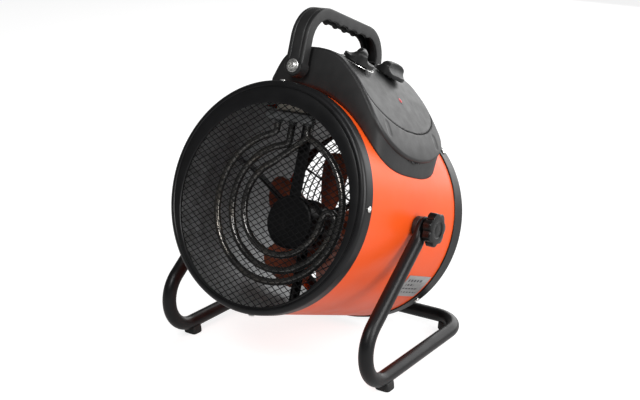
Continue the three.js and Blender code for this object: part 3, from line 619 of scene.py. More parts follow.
def add_front_ring():
    """Flat face with a groove and a rolled rim; the opening sits lower than the drum centre."""
    low, inner, rim_r = -DUCT_DROP, DRUM_R + 0.3, 5.2
    outline = [(inner, FRONT_Y + 17), (RING_R - 0.5, FRONT_Y + 17), (RING_R, FRONT_Y + 16.2),
               (RING_R, FRONT_Y + 9)]
    outline += corner_arc(RING_R - rim_r, FRONT_Y + rim_r, rim_r, 0, -90, 12)
    outline += [(114.3, FRONT_Y + 0.05), (113.9, FRONT_Y + 0.5), (113.5, FRONT_Y + 1.2),
                (112.9, FRONT_Y + 1.2), (112.5, FRONT_Y + 0.8), (112.0, FRONT_Y + 0.55)]
    outline += [(OUTLET_R + 1.2, FRONT_Y + 0.5, low), (OUTLET_R + 0.4, FRONT_Y + 0.75, low),
                (OUTLET_R, FRONT_Y + 1.3, low), (OUTLET_R, FRONT_Y + 2.2, low), (inner, FRONT_Y + 2.3)]
    piece("outlet_ring", lathe(outline, 256), DRUM, "drum", BLACK, ["front_ring"], sharp=30)


def add_rear_ring():
    inner, rim_r = DRUM_R + 0.3, 4.6
    outline = [(inner, REAR_Y - 21.5), (RING_R - 0.5, REAR_Y - 21.5), (RING_R, REAR_Y - 20.8),
               (RING_R, REAR_Y - 6)]
    outline += corner_arc(RING_R - rim_r, REAR_Y - rim_r, rim_r, 0, 90, 10)
    outline += [(109, REAR_Y), (108.2, REAR_Y - 0.5), (108, REAR_Y - 2), (inner, REAR_Y - 2)]
    piece("inlet_ring", lathe(outline, 256), DRUM, "drum", BLACK, ["rear_ring"], sharp=30)


def woven_wire(offset, lean, spacing, crossing, index, flip, radius):
    """One wire of the mesh across the round opening, waving over and under those that it crosses."""
    reach = math.sqrt(max(radius ** 2 - offset ** 2, 0))
    along = np.array((math.cos(lean), math.sin(lean)))
    across = np.array((-math.sin(lean), math.cos(lean)))
    count = max(4, int(2 * reach / (crossing / 2)))
    s = np.linspace(-reach, reach, count)
    phase = (s * math.sin(2 * lean) * (1 if flip > 0 else -1) + offset * math.cos(2 * lean)) / spacing
    wave = 0.42 * flip * np.cos(math.pi * (phase + index))
    flat = s[:, None] * along + offset * across
    return np.column_stack([flat[:, 0], wave, flat[:, 1]])


def add_front_grille():
    lean, spacing, radius = math.radians(33), 5.5, OUTLET_R + 1.5
    crossing = spacing / math.sin(2 * lean)
    mesh_y = FRONT_Y + 3.4
    wires = []
    for flip in (1, -1):
        for k in range(-19, 20):
            if abs(k * spacing) > radius - 2:
                continue
            path = woven_wire(k * spacing, lean * flip, spacing, crossing, k, flip, radius)
            path[:, 1] += mesh_y
            wires.append(sweep(path, circle(0.48, 5), first=(0, 1, 0)))
    band = [(OUTLET_R + 0.6, mesh_y - 0.8), (DUCT_R + 1, mesh_y - 0.8), (DUCT_R + 1, mesh_y + 0.7),
            (OUTLET_R + 0.6, mesh_y + 0.7)]
    piece("outlet_mesh", merge(lathe(band, 160), *wires), DUCT, "drum", BLACK,
          ["front_grille"], sharp=60)


def wire_ring(radius, y, wire_r):
    """A round wire bent into a circle about the Y axis."""
    turn = full_turn(120)
    out = np.stack([np.cos(turn), 0 * turn, np.sin(turn)], 1)
    loop = radius * out + (0, y, 0)
    rows = [loop + wire_r * (math.cos(a) * out + (0, math.sin(a), 0)) for a in full_turn(8)]
    return skin(rows, round_rows=True, round_columns=True)


def add_rear_grille():
    """Concentric wires on radial stays, as the fan guard at the back."""
    y, stay_y, stay_count = REAR_Y - 4.2, REAR_Y - 5.9, 8
    rings = [wire_ring(radius, y, 0.95) for radius in np.arange(14, 108, 8.4)]
    stays = []
    for angle in full_turn(stay_count) + TAU / stay_count / 2:
        out = np.array((math.cos(angle), 0, math.sin(angle)))
        stays.append(rod(1.25, out * 12 + (0, stay_y, 0), out * 109 + (0, stay_y, 0), 0.3, 12))
    hub = lathe([(0.01, y - 2.2), (15.5, y - 2.2), (16, y - 1.7), (16, y + 0.4), (15, y + 1),
                 (0.01, y + 1.4)], 64)
    band = [(107, y - 2.0), (115, y - 2.0), (115, y + 0.8), (107, y + 0.8)]
    piece("inlet_guard", merge(lathe(band, 160), hub, *rings, *stays), DRUM, "drum", BLACK,
          ["rear_grille"], sharp=50)


def cross_recess(x, y, width, reach, depth):
    arms = np.minimum(np.maximum(np.abs(x) / reach, np.abs(y) / (width / 2)),
                      np.maximum(np.abs(y) / reach, np.abs(x) / (width / 2)))
    return depth * (1 - smoothstep(0.8, 1.1, arms))


def screw_head(radius, tall):
    """Pan head with a cross recess."""
    def height(x, y):
        r = np.hypot(x, y) / radius
        return 0.35 + tall * np.sqrt(np.clip(1 - (0.82 * r) ** 2, 0, 1)) - cross_recess(x, y, 1.0, 1.9, 0.9)
    return relief(lambda angle: radius, 0.0, height, rings=22, steps=64)


def add_ring_screws():
    heads = screw_head(3.2, 1.25)
    for name, y, angles in (("front", FRONT_Y + 10, (-4, 86, 176, 266)),
                            ("rear", REAR_Y - 11, (44, 134, 224, 314))):
        for i, degrees in enumerate(angles, 1):
            angle = math.radians(degrees)
            out = (math.sin(angle), 0, math.cos(angle))
            at = Vector(out) * (RING_R + 0.3) + Vector((0, y, 0))
            place = DRUM @ facing(at, out, 0.5 * i)
            piece(f"{name}_screw_head_{i}", heads, place, "drum", ZINC, [f"{name}_ring_screw_{i}"])


# ---------------------------------------------------------------- duct, elements, motor and fan
def add_liner():
    outline = [(DUCT_R - 0.8, FRONT_Y + 5.2), (DUCT_R, FRONT_Y + 5.2), (DUCT_R, 78), (DUCT_R - 0.8, 78)]
    liner = piece("duct_liner", lathe(outline, 192), DUCT, "drum", GALVANISED, ["inner_liner"])
    notch = moved(slab((62, 32, 30), (0, -80, DUCT_R), 1.5), DUCT)
    carved(liner, notch)


def finish_kept_nodes():
    """Procedural finishes for the CAD nodes that stay as they are, hidden in the drum and its housing."""
    kept = {"liner_bracket_top": GALVANISED, "liner_bracket_bottom": GALVANISED, "thermostat": CERAMIC,
            "selector_switch": KNOB, "thermal_cutout": ZINC}
    for name, material in kept.items():
        node = frame["nodes"][name]
        node.data.materials.clear()
        node.data.materials.append(material)


def outer_element_path():
    y, radius, spread = OUTER_ELEMENT_Y, 78.0, math.radians(14)
    start, end = math.pi / 2 + spread, math.pi / 2 - spread + TAU
    ring = arc((0, y, 0), radius, (1, 0, 0), (0, 0, 1), start, end, 200)
    first, last = ring[0], ring[-1]
    return np.concatenate([np.linspace((first[0], y, ELEMENT_TOP_Z), first, 12)[:-1], ring,
                           np.linspace(last, (last[0], y, ELEMENT_TOP_Z), 12)[1:]])


def inner_element_path():
    """Round to the right-hand side, a U-turn inwards, and back round to the top."""
    y, radius, back = INNER_ELEMENT_Y, 66.0, 50.0
    start, turn_at = math.pi / 2 + 0.12, TAU - 0.05
    middle, small = (radius + back) / 2, (radius - back) / 2
    out = np.array((math.cos(turn_at), 0, math.sin(turn_at)))
    on = np.array((-math.sin(turn_at), 0, math.cos(turn_at)))
    big = arc((0, y, 0), radius, (1, 0, 0), (0, 0, 1), start, turn_at, 170)
    bend = arc(out * middle + (0, y, 0), small, out, on, 0, math.pi, 24)
    home = arc((0, y, 0), back, (1, 0, 0), (0, 0, 1), turn_at, math.pi / 2 + 0.5, 130)
    rise = np.array((8, y + 9, 76.0))
    return np.concatenate([np.linspace((big[0][0], y, ELEMENT_TOP_Z), big[0], 10)[:-1], big, bend[1:],
                           home[1:], np.linspace(home[-1], rise, 14)[1:],
                           np.linspace(rise, (8, y + 9, ELEMENT_TOP_Z), 8)[1:]])


def add_elements():
    ends = []
    for name, path, node in (("outer_element", outer_element_path(), "outer_heating_element"),
                             ("inner_element", inner_element_path(), "inner_heating_element")):
        path = softened(evenly(path, 1.6), 8)
        ends += [path[0], path[-1]]
        piece(name, sweep(path, circle(3.7), first=(0, 1, 0)), DUCT, "drum", ELEMENT,
              [node])
    collars = []
    for end in ends:
        x, y = end[:2]
        collars.append(rod(4.7, (x, y, 86.5), (x, y, 91.5), 0.6, 24))
        collars.append(rod(5.6, (x, y, 91.3), (x, y, 94.8), 0.5, 6))
    strip = slab((58, 30, 2.4), (0, -80, 96.4), 0.8)
    lip = slab((58, 1.6, 9), (0, -94.0, 93.2), 0.6)
    piece("element_plate", merge(strip, lip, *collars), DUCT, "drum", GALVANISED,
          ["element_bracket"])
    block = slab((40, 22, 8), (0, -80, 102.6), 1.2)
    ribs = [slab((1.6, 22, 3), (x, -80, 107.4), 0.5) for x in (-19, -9.5, 0, 9.5, 19)]
    piece("terminal_strip", merge(block, *ribs), DUCT, "drum", CERAMIC, ["terminal_block"])


def reach_to_liner(angle):
    """From the motor's centre line to the duct's wall, in a direction measured from +X towards +Z."""
    rise = MOTOR_DROP * math.sin(angle)
    return rise + math.sqrt((DUCT_R - 1.1) ** 2 - MOTOR_DROP ** 2 + rise ** 2)


def add_motor():
    front, rear, radius, middle = -46.0, 0.0, 24.0, -23.0
    outline = [(0.01, front), (8, front), (9, front + 0.8), (radius - 4, front + 1)]
    outline += corner_arc(radius - 3, front + 4, 3, -90, 0, 6)
    outline += [(radius, middle + 8), (radius - 0.8, middle + 8.6), (radius - 0.8, middle + 11.4),
                (radius, middle + 12), (radius, rear - 4)]
    outline += corner_arc(radius - 3, rear - 4, 3, 0, 90, 6)
    outline += [(12, rear - 1), (11, rear), (5, rear), (5, rear - 18), (0.01, rear - 18)]
    screws = []
    for k in range(4):
        angle = k * TAU / 4 + 0.6
        x, z = 17 * math.cos(angle), 17 * math.sin(angle)
        screws.append(rod(2.4, (x, rear - 1.6, z), (x, rear, z), 0.5, 20))
    piece("fan_motor_can", merge(lathe(outline, 96), *screws), MOUNT, "drum", MOTOR,
          ["fan_motor"])


def add_motor_spider():
    """A collar round the motor and three ribbed arms to the duct's wall."""
    middle, root, wall_gap = -23.0, 25.5, 0.5
    collar = lathe([(24.3, middle - 6), (27, middle - 6), (27, middle + 6), (24.3, middle + 6)], 96)
    arms = []
    for degrees in (30, 150, 270):
        angle = math.radians(degrees)
        length = reach_to_liner(angle) - wall_gap - root
        centre = root + length / 2
        arm = slab((length, 12, 2.2), (centre, middle, 0), 0.8)
        web = slab((length, 1.8, 6), (centre, middle + 5.1, 2.0), 0.6)
        arms.append(moved(merge(arm, web), Matrix.Rotation(-angle, 4, "Y")))
    piece("motor_spider", merge(collar, *arms), MOUNT, "drum", BLACK, ["motor_bracket"])


def add_heat_shield():
    """A pressed pan in front of the motor, with a stepped face, hung on a strap from the duct's roof."""
    radius, front, rear = 28.5, -59.0, -47.0
    pan = [(0.01, front + 1.2), (7, front + 1.2), (8.2, front + 0.2), (16, front), (radius - 3.2, front)]
    pan += corner_arc(radius - 3, front + 3, 3, -90, 0, 8)
    pan += [(radius, rear), (radius - 1.2, rear), (radius - 1.2, front + 3.4), (radius - 3.4, front + 1.5),
            (16, front + 1.3), (8, front + 1.6), (7, front + 2.4), (0.01, front + 2.4)]
    foot, top = radius - 1, reach_to_liner(math.pi / 2) - 0.5
    strap = slab((14, 1.6, top - foot), (0, front + 3.2, (top + foot) / 2), 0.5)
    rib = slab((4, 1.4, top - foot - 12), (0, front + 2.2, (top + foot) / 2), 0.5)
    piece("shield_pan", merge(lathe(pan, 128), strap, rib), MOUNT, "drum", BLACK,
          ["motor_heat_shield"])


def blade(start):
    """A thin pressed blade: broad at the tip, cambered and pitched, with a rounded outer edge."""
    pitch, thick, tip = math.radians(28), 0.75, 82.5
    rows = []
    for share in np.linspace(0, 1, 26):
        reach = 19 + share * (tip - 19)
        half_lead = 13 + 19 * math.sin(min(share * 1.25, 1) * math.pi / 2)
        half_trail = 12.5 + 12 * math.sin(min(share * 1.3, 1) * math.pi / 2)
        trim = math.sqrt(max(1 - max((share - 0.78) / 0.22, 0) ** 2 * 0.62, 0))
        loop = []
        for side in (thick, -thick):
            spots = np.linspace(-1, 1, 15) if side > 0 else np.linspace(1, -1, 15)
            for t in spots:
                chord = (half_lead if t < 0 else half_trail) * t * trim
                camber = 3.2 * (1 - t * t) * (0.35 + 0.65 * share)
                x = math.sqrt(max(reach ** 2 - 0.35 * (chord * math.cos(pitch)) ** 2, 1))
                across, depth = chord * math.cos(pitch), chord * math.sin(pitch) - camber + side
                loop.append((x * math.cos(start) - across * math.sin(start), FAN_Y + depth,
                             x * math.sin(start) + across * math.cos(start)))
        rows.append(loop)
    return skin(rows, round_columns=True, caps=True)


def add_fan():
    low, high = FAN_Y - 12, FAN_Y + 10
    hub = [(0.01, low), (20, low), (23.2, low + 0.8), (24, low + 2.5), (24, high - 2), (23, high - 0.5),
           (20, high), (12, high - 1), (0.01, high - 1)]
    shaft = rod(4, (0, -16, 0), (0, FAN_Y, 0), 0.5, 24)
    nut = rod(6, (0, high - 2, 0), (0, high, 0), 0.8, 6)
    blades = [blade(BLADE_START + angle) for angle in full_turn(BLADES)]
    piece("fan_blades", merge(lathe(hub, 96), shaft, nut, *blades), MOUNT, "fan", PRIMER,
          ["fan_rotor"], sharp=40)


# ---------------------------------------------------------------- control housing
# The saddle's crest over the drum as (x, z), from the left wall's top to the tongue's tip.
SECTION = [(-37, 124), (-27, 147), (-12, 158.5), (14, 161.5), (40, 156), (64, 138), (83, 117), (102.5, 89.5),
           (112, 66), (114, 44)]
LEFT_FOOT = (-37, 112)
RIDGE_R = 3.6
RIDGE_HALF = 74.8
RIDGE_SHOULDER = 104.0
RIDGE_LOW = 65.0
BASE_HALF = 75.4
BASE_SHOULDER = 100.0
BASE_LOW = 48.3
WALL_R = DRUM_R + 0.4
PANEL_START_X = 24


def spline(points, steps=24):
    """An even-parameter Catmull-Rom curve through the points."""
    points = np.asarray(points, float)
    curve = []
    for i in range(len(points) - 1):
        p0, p1 = points[max(i - 1, 0)], points[i]
        p2, p3 = points[i + 1], points[min(i + 2, len(points) - 1)]
        v0, v1 = (p2 - p0) / 2, (p3 - p1) / 2
        for t in np.linspace(0, 1, steps, endpoint=False):
            curve.append((2 * p1 - 2 * p2 + v0 + v1) * t ** 3 + (3 * p2 - 3 * p1 - 2 * v0 - v1) * t ** 2
                         + v0 * t + p1)
    return np.array(curve + [points[-1]])


def housing_rows():
    """Rows of the saddle's skin, as (x, z, half width, base x, base z, base half width)."""
    curve = spline(SECTION)
    crest = evenly(np.concatenate([[LEFT_FOOT], curve]), 0.5)
    right = crest[:, 0] > 40
    z_right = crest[right][::-1, 1]
    x_right = crest[right][::-1, 0]
    rows = []
    above = evenly(crest[~right | (crest[:, 1] > RIDGE_SHOULDER)], 1.6)
    for x, z in above:
        angle = math.atan2(x, z)
        rows.append((x, z, RIDGE_HALF, WALL_R * math.sin(angle), WALL_R * math.cos(angle), BASE_HALF))
    low_angle = math.atan2(above[-1][0], above[-1][1])
    base_start = WALL_R * math.cos(low_angle)
    for share in np.linspace(0, 1, 64)[1:]:
        angle = share * math.pi / 2
        z = RIDGE_SHOULDER - (RIDGE_SHOULDER - RIDGE_LOW) * math.sin(angle)
        x = float(np.interp(z, z_right, x_right))
        base_z = base_start - (base_start - BASE_LOW) * math.sin(angle)
        level = min(1, max(0, (BASE_SHOULDER - base_z) / (BASE_SHOULDER - BASE_LOW)))
        base_half = BASE_HALF * math.cos(math.asin(level ** (1 / 0.72))) ** 0.72
        base_x = math.sqrt(WALL_R ** 2 - base_z ** 2)
        rows.append((x, z, RIDGE_HALF * math.cos(angle), base_x, base_z, base_half))
    return np.array(rows)


def panel_depth_inside(x, y, z):
    """Distance inside the U-shaped outline of the control panel, seen square-on to the slope."""
    slope, half, straight, long = math.radians(42), 72.0, -29.0, 40.3
    u = y - HOUSING_MID_Y
    v = x * math.cos(slope) - z * math.sin(slope)
    past = np.maximum(v - straight, 0)
    level = np.sqrt((u / half) ** 2 + (past / long) ** 2)
    grade = np.sqrt((u / half ** 2) ** 2 + (past / long ** 2) ** 2) / np.maximum(level, 1e-6)
    return (1 - level) / np.maximum(grade, 1e-6), v


def well_depth(x, y, z):
    """Two soft oblong wells on the lower slope."""
    lean = math.radians(58)
    down = (x - 101.2) * math.cos(lean) - (z - 92) * math.sin(lean)
    total = np.zeros_like(x)
    for centre in (HOUSING_MID_Y - 52.3, HOUSING_MID_Y + 52.8):
        reach = np.hypot(np.maximum(np.abs(down) - 5.5, 0), y - centre)
        total += 0.7 * (1 - smoothstep(2.8, 4.4, reach))
    return total


def seat_depth(x, y, z):
    """Flat lands under the two control knobs, sunk slightly into the crest."""
    total = np.zeros_like(x)
    for name in ("thermostat_turn", "selector_turn"):
        at, axis = (np.array(vector) for vector in drum_local(joints[name]))
        offset = np.stack([x, y, z], -1) - at
        height = offset @ axis
        reach = np.linalg.norm(offset - height[..., None] * axis, axis=-1)
        total += np.maximum(height - 0.15, 0) * (1 - smoothstep(KNOB_R + 2.6, KNOB_R + 3.6, reach))
    return total


def across_columns(half):
    """Places across each row: close together at both edges and even between them."""
    edges = np.array([0, 0.12, 0.4, 0.8, 1.3, 1.9, 2.6, 3.3, 4.2])
    inner = np.linspace(0, 1, 110)[1:-1]
    columns = []
    for h in half:
        near = edges * min(1, h / 9.0)
        columns.append(np.concatenate([-h + near, (-h + near[-1]) + inner * 2 * (h - near[-1]),
                                       (h - near)[::-1]]))
    return np.array(columns)


def rim_distance(length, half, columns):
    """Distance of each grid point from the outline of the skin, laid out flat."""
    rim = evenly(np.concatenate([np.stack([length, half], 1), np.stack([length, -half], 1)[::-1]]), 0.5)
    distance = np.empty_like(columns)
    for i, along in enumerate(length):
        gap = np.hypot(along - rim[None, :, 0], columns[i][:, None] - rim[None, :, 1])
        distance[i] = gap.min(1)
    distance[:, 0] = distance[:, -1] = 0
    return distance


def upward_normals(x, z):
    """Unit normals of the crest, on the side away from the drum."""
    along = np.gradient(np.stack([x, z], 1), axis=0)
    along /= np.maximum(np.linalg.norm(along, axis=1), 1e-9)[:, None]
    normal = np.stack([-along[:, 1], along[:, 0]], 1)
    return -normal if normal[20, 1] < 0 else normal


def housing_surface():
    """The skin as a grid of points, and how far each point is inside the panel outline."""
    table = housing_rows()
    x, z, half = table[:, 0], table[:, 1], table[:, 2]
    normal = upward_normals(x, z)
    columns = across_columns(half)
    distance = rim_distance(run_length(table[:, :2]), half, columns)
    inside = np.clip(distance, 0, RIDGE_R)
    drop = RIDGE_R - np.sqrt(np.maximum(RIDGE_R ** 2 - (RIDGE_R - inside) ** 2, 0))
    grid_x = np.repeat(x[:, None], columns.shape[1], 1)
    grid_z = np.repeat(z[:, None], columns.shape[1], 1)
    grid_y = HOUSING_MID_Y + columns
    within, v = panel_depth_inside(grid_x, grid_y, grid_z)
    fade = smoothstep(1.0, 4.0, distance) * smoothstep(-60, -45, v)
    groove = 1.1 * np.exp(-(within / 0.62) ** 2) * fade
    drop = drop + groove + well_depth(grid_x, grid_y, grid_z) + seat_depth(grid_x, grid_y, grid_z)
    points = np.stack([grid_x - normal[:, :1] * drop, grid_y, grid_z - normal[:, 1:] * drop], 2)
    return table, points, within


def add_housing():
    table, points, within = housing_surface()
    count, width = points.shape[:2]
    shapes = {"saddle_cover": [], "panel_cover": []}
    for i in range(count - 1):
        for k in range(width - 1):
            corners = (i * width + k, i * width + k + 1, (i + 1) * width + k + 1, (i + 1) * width + k)
            on_panel = within[i:i + 2, k:k + 2].mean() > 0 and table[i, 0] > PANEL_START_X
            shapes["panel_cover" if on_panel else "saddle_cover"].append(corners)
    flat = points.reshape(-1, 3)
    walls = []
    for column, sign in ((0, -1), (width - 1, 1)):
        top = points[:, column]
        base = np.stack([table[:, 3], HOUSING_MID_Y + sign * table[:, 5], table[:, 4]], 1)
        share = np.linspace(0, 1, 9)[:, None, None]
        bulge = np.sin(share * math.pi) * 0.6 * np.minimum(table[:, 2] / 40, 1)[None, :, None]
        rows = top[None] * (1 - share) + base[None] * share
        rows[:, :, 1] += sign * bulge[:, :, 0]
        walls.append(skin(rows))
    saddle = merge((flat, shapes["saddle_cover"]), *walls)
    for name, shape, node in (("saddle_cover", saddle, "control_housing"),
                              ("panel_cover", (flat, shapes["panel_cover"]), "control_panel")):
        obj = piece(name, shape, DRUM, "drum", PLASTIC, [node], sharp=40)
        thicken(obj, 1.8)


def thicken(obj, wall):
    """Welds an open skin, gives it a wall towards the drum and closes its rims."""
    solid = bmesh.new()
    solid.from_mesh(obj.data)
    bmesh.ops.remove_doubles(solid, verts=solid.verts, dist=0.00002)
    loose = [v for v in solid.verts if not v.link_faces]
    bmesh.ops.delete(solid, geom=loose, context="VERTS")
    bmesh.ops.recalc_face_normals(solid, faces=solid.faces)
    centre = DRUM @ Vector((0, 0, 0))
    axis = DRUM_AXIS.normalized()
    outward = 0
    for face in solid.faces:
        offset = face.calc_center_median() - centre
        outward += face.calc_area() * face.normal.dot(offset - axis * offset.dot(axis))
    if outward < 0:
        bmesh.ops.reverse_faces(solid, faces=solid.faces)
    solid.to_mesh(obj.data)
    solid.free()
    modifier = obj.modifiers.new("wall", "SOLIDIFY")
    modifier.thickness = wall / 1000
    modifier.offset = -1
    obj.data.set_sharp_from_angle(angle=math.radians(40))


def drum_local(joint):
    """A joint's place and axis in the level drum's millimetres."""
    to_drum = DRUM.inverted()
    return to_drum @ Vector(joint["pos_m"]), (to_drum.to_3x3() @ Vector(joint["axis"])).normalized()


def on_knob_axis(at, axis, spin=0.0):
    """Local +Z along a control spindle, +X down the slope, +Y rearwards, turned by spin."""
    down = Vector((axis.z, 0, -axis.x))
    rear = axis.cross(down)
    turn = Matrix((down, rear, axis)).transposed().to_4x4()
    return Matrix.Translation(at) @ turn @ Matrix.Rotation(spin, 4, "Z")


def finger_knob():
    """Round moulded knob: a skirt, and across it a tall finger bar with hollowed flanks."""
    skirt = 6.3

    def height(x, y):
        across, along = np.abs(x), np.minimum(np.abs(y) / KNOB_R, 1)
        crown = 2.8 + 2.6 * along ** 2.6
        crest = KNOB_TALL - 1.0 * along ** 2 - 4.4 * along ** 6 - 0.9 * np.minimum(across / crown, 1) ** 3
        reach = np.clip((across - crown) / (11.8 - 0.55 * crown), 0, 1)
        flank = (1 - np.sqrt(np.clip(1 - (1 - reach) ** 2.3, 0, 1)))
        hollow = 0.9 * np.exp(-((across - 10.5) / 3.0) ** 2) * (1 - along ** 2)
        return np.where(across < crown, crest, skirt + (crest - skirt) * flank - hollow)
    return relief(lambda angle: KNOB_R, 1.7, height, rings=64, steps=176)


def add_knobs():
    for name, joint, body, node, spin in (("thermostat_dial_knob", "thermostat_turn", "thermostat_dial",
                                           "thermostat_knob", math.radians(38)),
                                          ("selector_dial_knob", "selector_turn", "selector_dial",
                                           "selector_knob", 0.0)):
        at, axis = drum_local(joints[joint])
        spindle = rod(3, (0, 0, -15), (0, 0, 3), 0.4, 24)
        piece(name, merge(finger_knob(), spindle), DRUM @ on_knob_axis(at, axis, spin), body, KNOB,
              [node], sharp=50)


def add_dial_ring():
    at, axis = drum_local(joints["thermostat_turn"])
    ring = [(KNOB_R + 0.5, 0.4), (KNOB_R + 0.7, 0.9), (KNOB_R + 1.9, 0.9), (KNOB_R + 2.2, 0.4)]
    piece("dial_trim_ring", lathe_up(ring, 128), DRUM @ facing(at, axis), "drum", ZINC,
          ["thermostat_dial_ring"])
    at, axis = drum_local(joints["selector_turn"])
    mark = slab((1.2, 3.6, 0.35), (KNOB_R + 4.4, 0, -0.3), 0.15)
    piece("selector_mark", mark, DRUM @ facing(at, axis, math.radians(35)), "drum", ZINC)


def add_lamp():
    slope = math.radians(45)
    axis = Vector((math.sin(slope), 0, math.cos(slope)))
    at = Vector((74.3, -6.0, 126.3)) - axis * 0.4

    def bulge(x, y):
        return 0.5 + 1.1 * np.sqrt(np.clip(1 - (x * x + y * y) / 15, 0, 1))

    dome = relief(lambda angle: 3.8, -1.5, bulge, rings=12, steps=48)
    piece("lamp_lens", dome, DRUM @ facing(at, axis), "drum", LENS, ["indicator_lens"])
    bezel = lathe_up([(3.9, -0.6), (5.3, -0.6), (5.3, 0.6), (4.9, 1.1), (4.2, 1.0), (3.9, 0.4)], 48)
    piece("lamp_bezel", bezel, DRUM @ facing(at, axis), "drum", KNOB)


def add_cord_bush():
    outline = [(3.6, 0.3), (3.6, 12), (5.6, 12), (6.5, 11.4), (6.9, 9.6), (6.2, 9.2), (6.2, 8.2), (7.6, 7.8),
               (7.9, 6.2), (7.0, 5.8), (7.0, 4.8), (8.8, 4.2), (9, 0.9), (8.6, 0.4)]
    tail = lathe([(3.6, -8), (5.8, -8), (5.8, 0.3), (3.6, 0.3)], 64)
    bush = moved(merge(lathe(outline, 64), tail), Matrix.Translation((62, HOUSING_REAR_Y, 116)))
    piece("cord_bush", bush, DRUM, "drum", KNOB, ["cord_gland"])


# ---------------------------------------------------------------- handle
def handle_path():
    """Centre of the handle's outer skin, from the front lug over the grip to the rear lug."""
    front, rear, top, corner, low = HANDLE_FRONT_Y, HANDLE_REAR_Y, 205.0, 38.0, LUG_Z
    return evenly(np.concatenate([
        [(0, front, low)],
        arc((0, front + corner, top - corner), corner, (0, 1, 0), (0, 0, 1), math.pi, math.pi / 2, 40),
        arc((0, rear - corner, top - corner), corner, (0, 1, 0), (0, 0, 1), math.pi / 2, 0, 40),
        [(0, rear, low)]]), 1.0)


def handle_section():
    """U-shaped section: (across, inwards) with a grooved, rounded back and an open channel."""
    half, deep, wall, floor = 10.5, 12.0, 3.2, 4.2
    back = [(-half, 0), (-6.4, 0), (-5.9, 0.7), (-5.2, 0.7), (-4.7, 0.1), (4.7, 0.1), (5.2, 0.7), (5.9, 0.7),
            (6.4, 0), (half, 0)]
    outline = back + [(half, deep), (half - wall, deep), (half - wall, floor), (-half + wall, floor),
                      (-half + wall, deep), (-half, deep)]
    return rounded(outline, 1.9, 5)


def handle_bar():
    """The U-section along its path, with finger bumps under the grip and filled ends."""
    grip_y, grip_half, bump_pitch, bump_tall, deep = -24, 42, 19, 1.9, 12.0
    path = handle_path()
    length = run_length(path)
    section = handle_section()
    grip = np.exp(-((path[:, 1] - grip_y) / grip_half) ** 8) * (path[:, 2] > 180)
    phase = (path[:, 1] - grip_y) / bump_pitch + 0.5
    wave = np.maximum(np.sin(phase * TAU), 0) ** 0.8
    sections = np.repeat(section[None], len(path), 0)
    low_edge = smoothstep(9.0, deep, section[:, 1])
    sections[:, :, 1] += (grip * wave)[:, None] * low_edge[None] * bump_tall
    fill = 1 - smoothstep(18, 26, np.minimum(length, length[-1] - length))
    channel = (np.abs(section[:, 0]) < 7.6) & (section[:, 1] > 2)
    sections[:, channel, 1] += fill[:, None] * (deep - section[channel, 1])[None] * 0.999
    inward = np.stack([np.zeros(len(path)), np.gradient(path[:, 2]), -np.gradient(path[:, 1])], 1)
    inward /= np.linalg.norm(inward, axis=1)[:, None]
    rows = path[:, None] + sections[:, :, :1] * (1.0, 0, 0) + sections[:, :, 1:] * inward[:, None]
    return skin(rows, round_columns=True, caps=True)


def add_handle():
    front, rear = HANDLE_FRONT_Y, HANDLE_REAR_Y
    front_lug = rod(11, (0, front, LUG_Z), (0, front + 12, LUG_Z), 1.6, 64)
    front_boss = rod(8.5, (0, front + 11, LUG_Z), (0, front + 16.7, LUG_Z), 0.3, 48)
    rear_lug = rod(11, (0, rear - 12, LUG_Z), (0, rear, LUG_Z), 1.6, 64)
    ribs = []
    for z in (158, 170):
        for y in (rear - 7.8, front + 7.8):
            ribs.append(slab((15, 7, 1.8), (0, y, z), 0.4))
    piece("grab_handle", merge(handle_bar(), front_lug, front_boss, rear_lug, *ribs), DRUM, "drum", PLASTIC,
          ["carry_handle"], sharp=42)


def add_handle_screws():
    """Recessed bolt heads on washers, one at each lug."""
    def dome(x, y):
        return 4.3 - 0.045 * (x * x + y * y) - cross_recess(x, y, 1.3, 2.6, 1.6)

    washer = lathe_up([(2.0, 0.2), (6.9, 0.2), (7.0, 0.5), (6.9, 1.3), (6.5, 1.5), (2.0, 1.5)])
    head = relief(lambda angle: 4.5, 1.4, dome, rings=24, steps=64)
    shank = rod(3, (0, 0, -17), (0, 0, 2), 0.3, 24)
    for name, y, out in (("front", HANDLE_FRONT_Y, -1), ("rear", HANDLE_REAR_Y, 1)):
        place = DRUM @ facing((0, y, LUG_Z), (0, out, 0), 0.6)
        piece(f"handle_screw_{name}", merge(washer, head, shank), place, "drum", ZINC,
              [f"handle_bolt_{name}"])


# ---------------------------------------------------------------- pivots and label
def star_radius(angle, lobes=7):
    wave = 0.5 + 0.5 * math.cos(lobes * angle)
    return 15.2 + 3.0 * wave ** 0.6


def star_height(x, y):
    """The star knob's face: a sunken ring round a raised middle, falling off towards the rim."""
    reach = np.hypot(x, y)
    ring = 0.4 * smoothstep(6.0, 3.0, reach) - 0.9 * smoothstep(9.5, 7.5, reach)
    return 14.0 + ring - 0.9 * smoothstep(12, 18.5, reach)


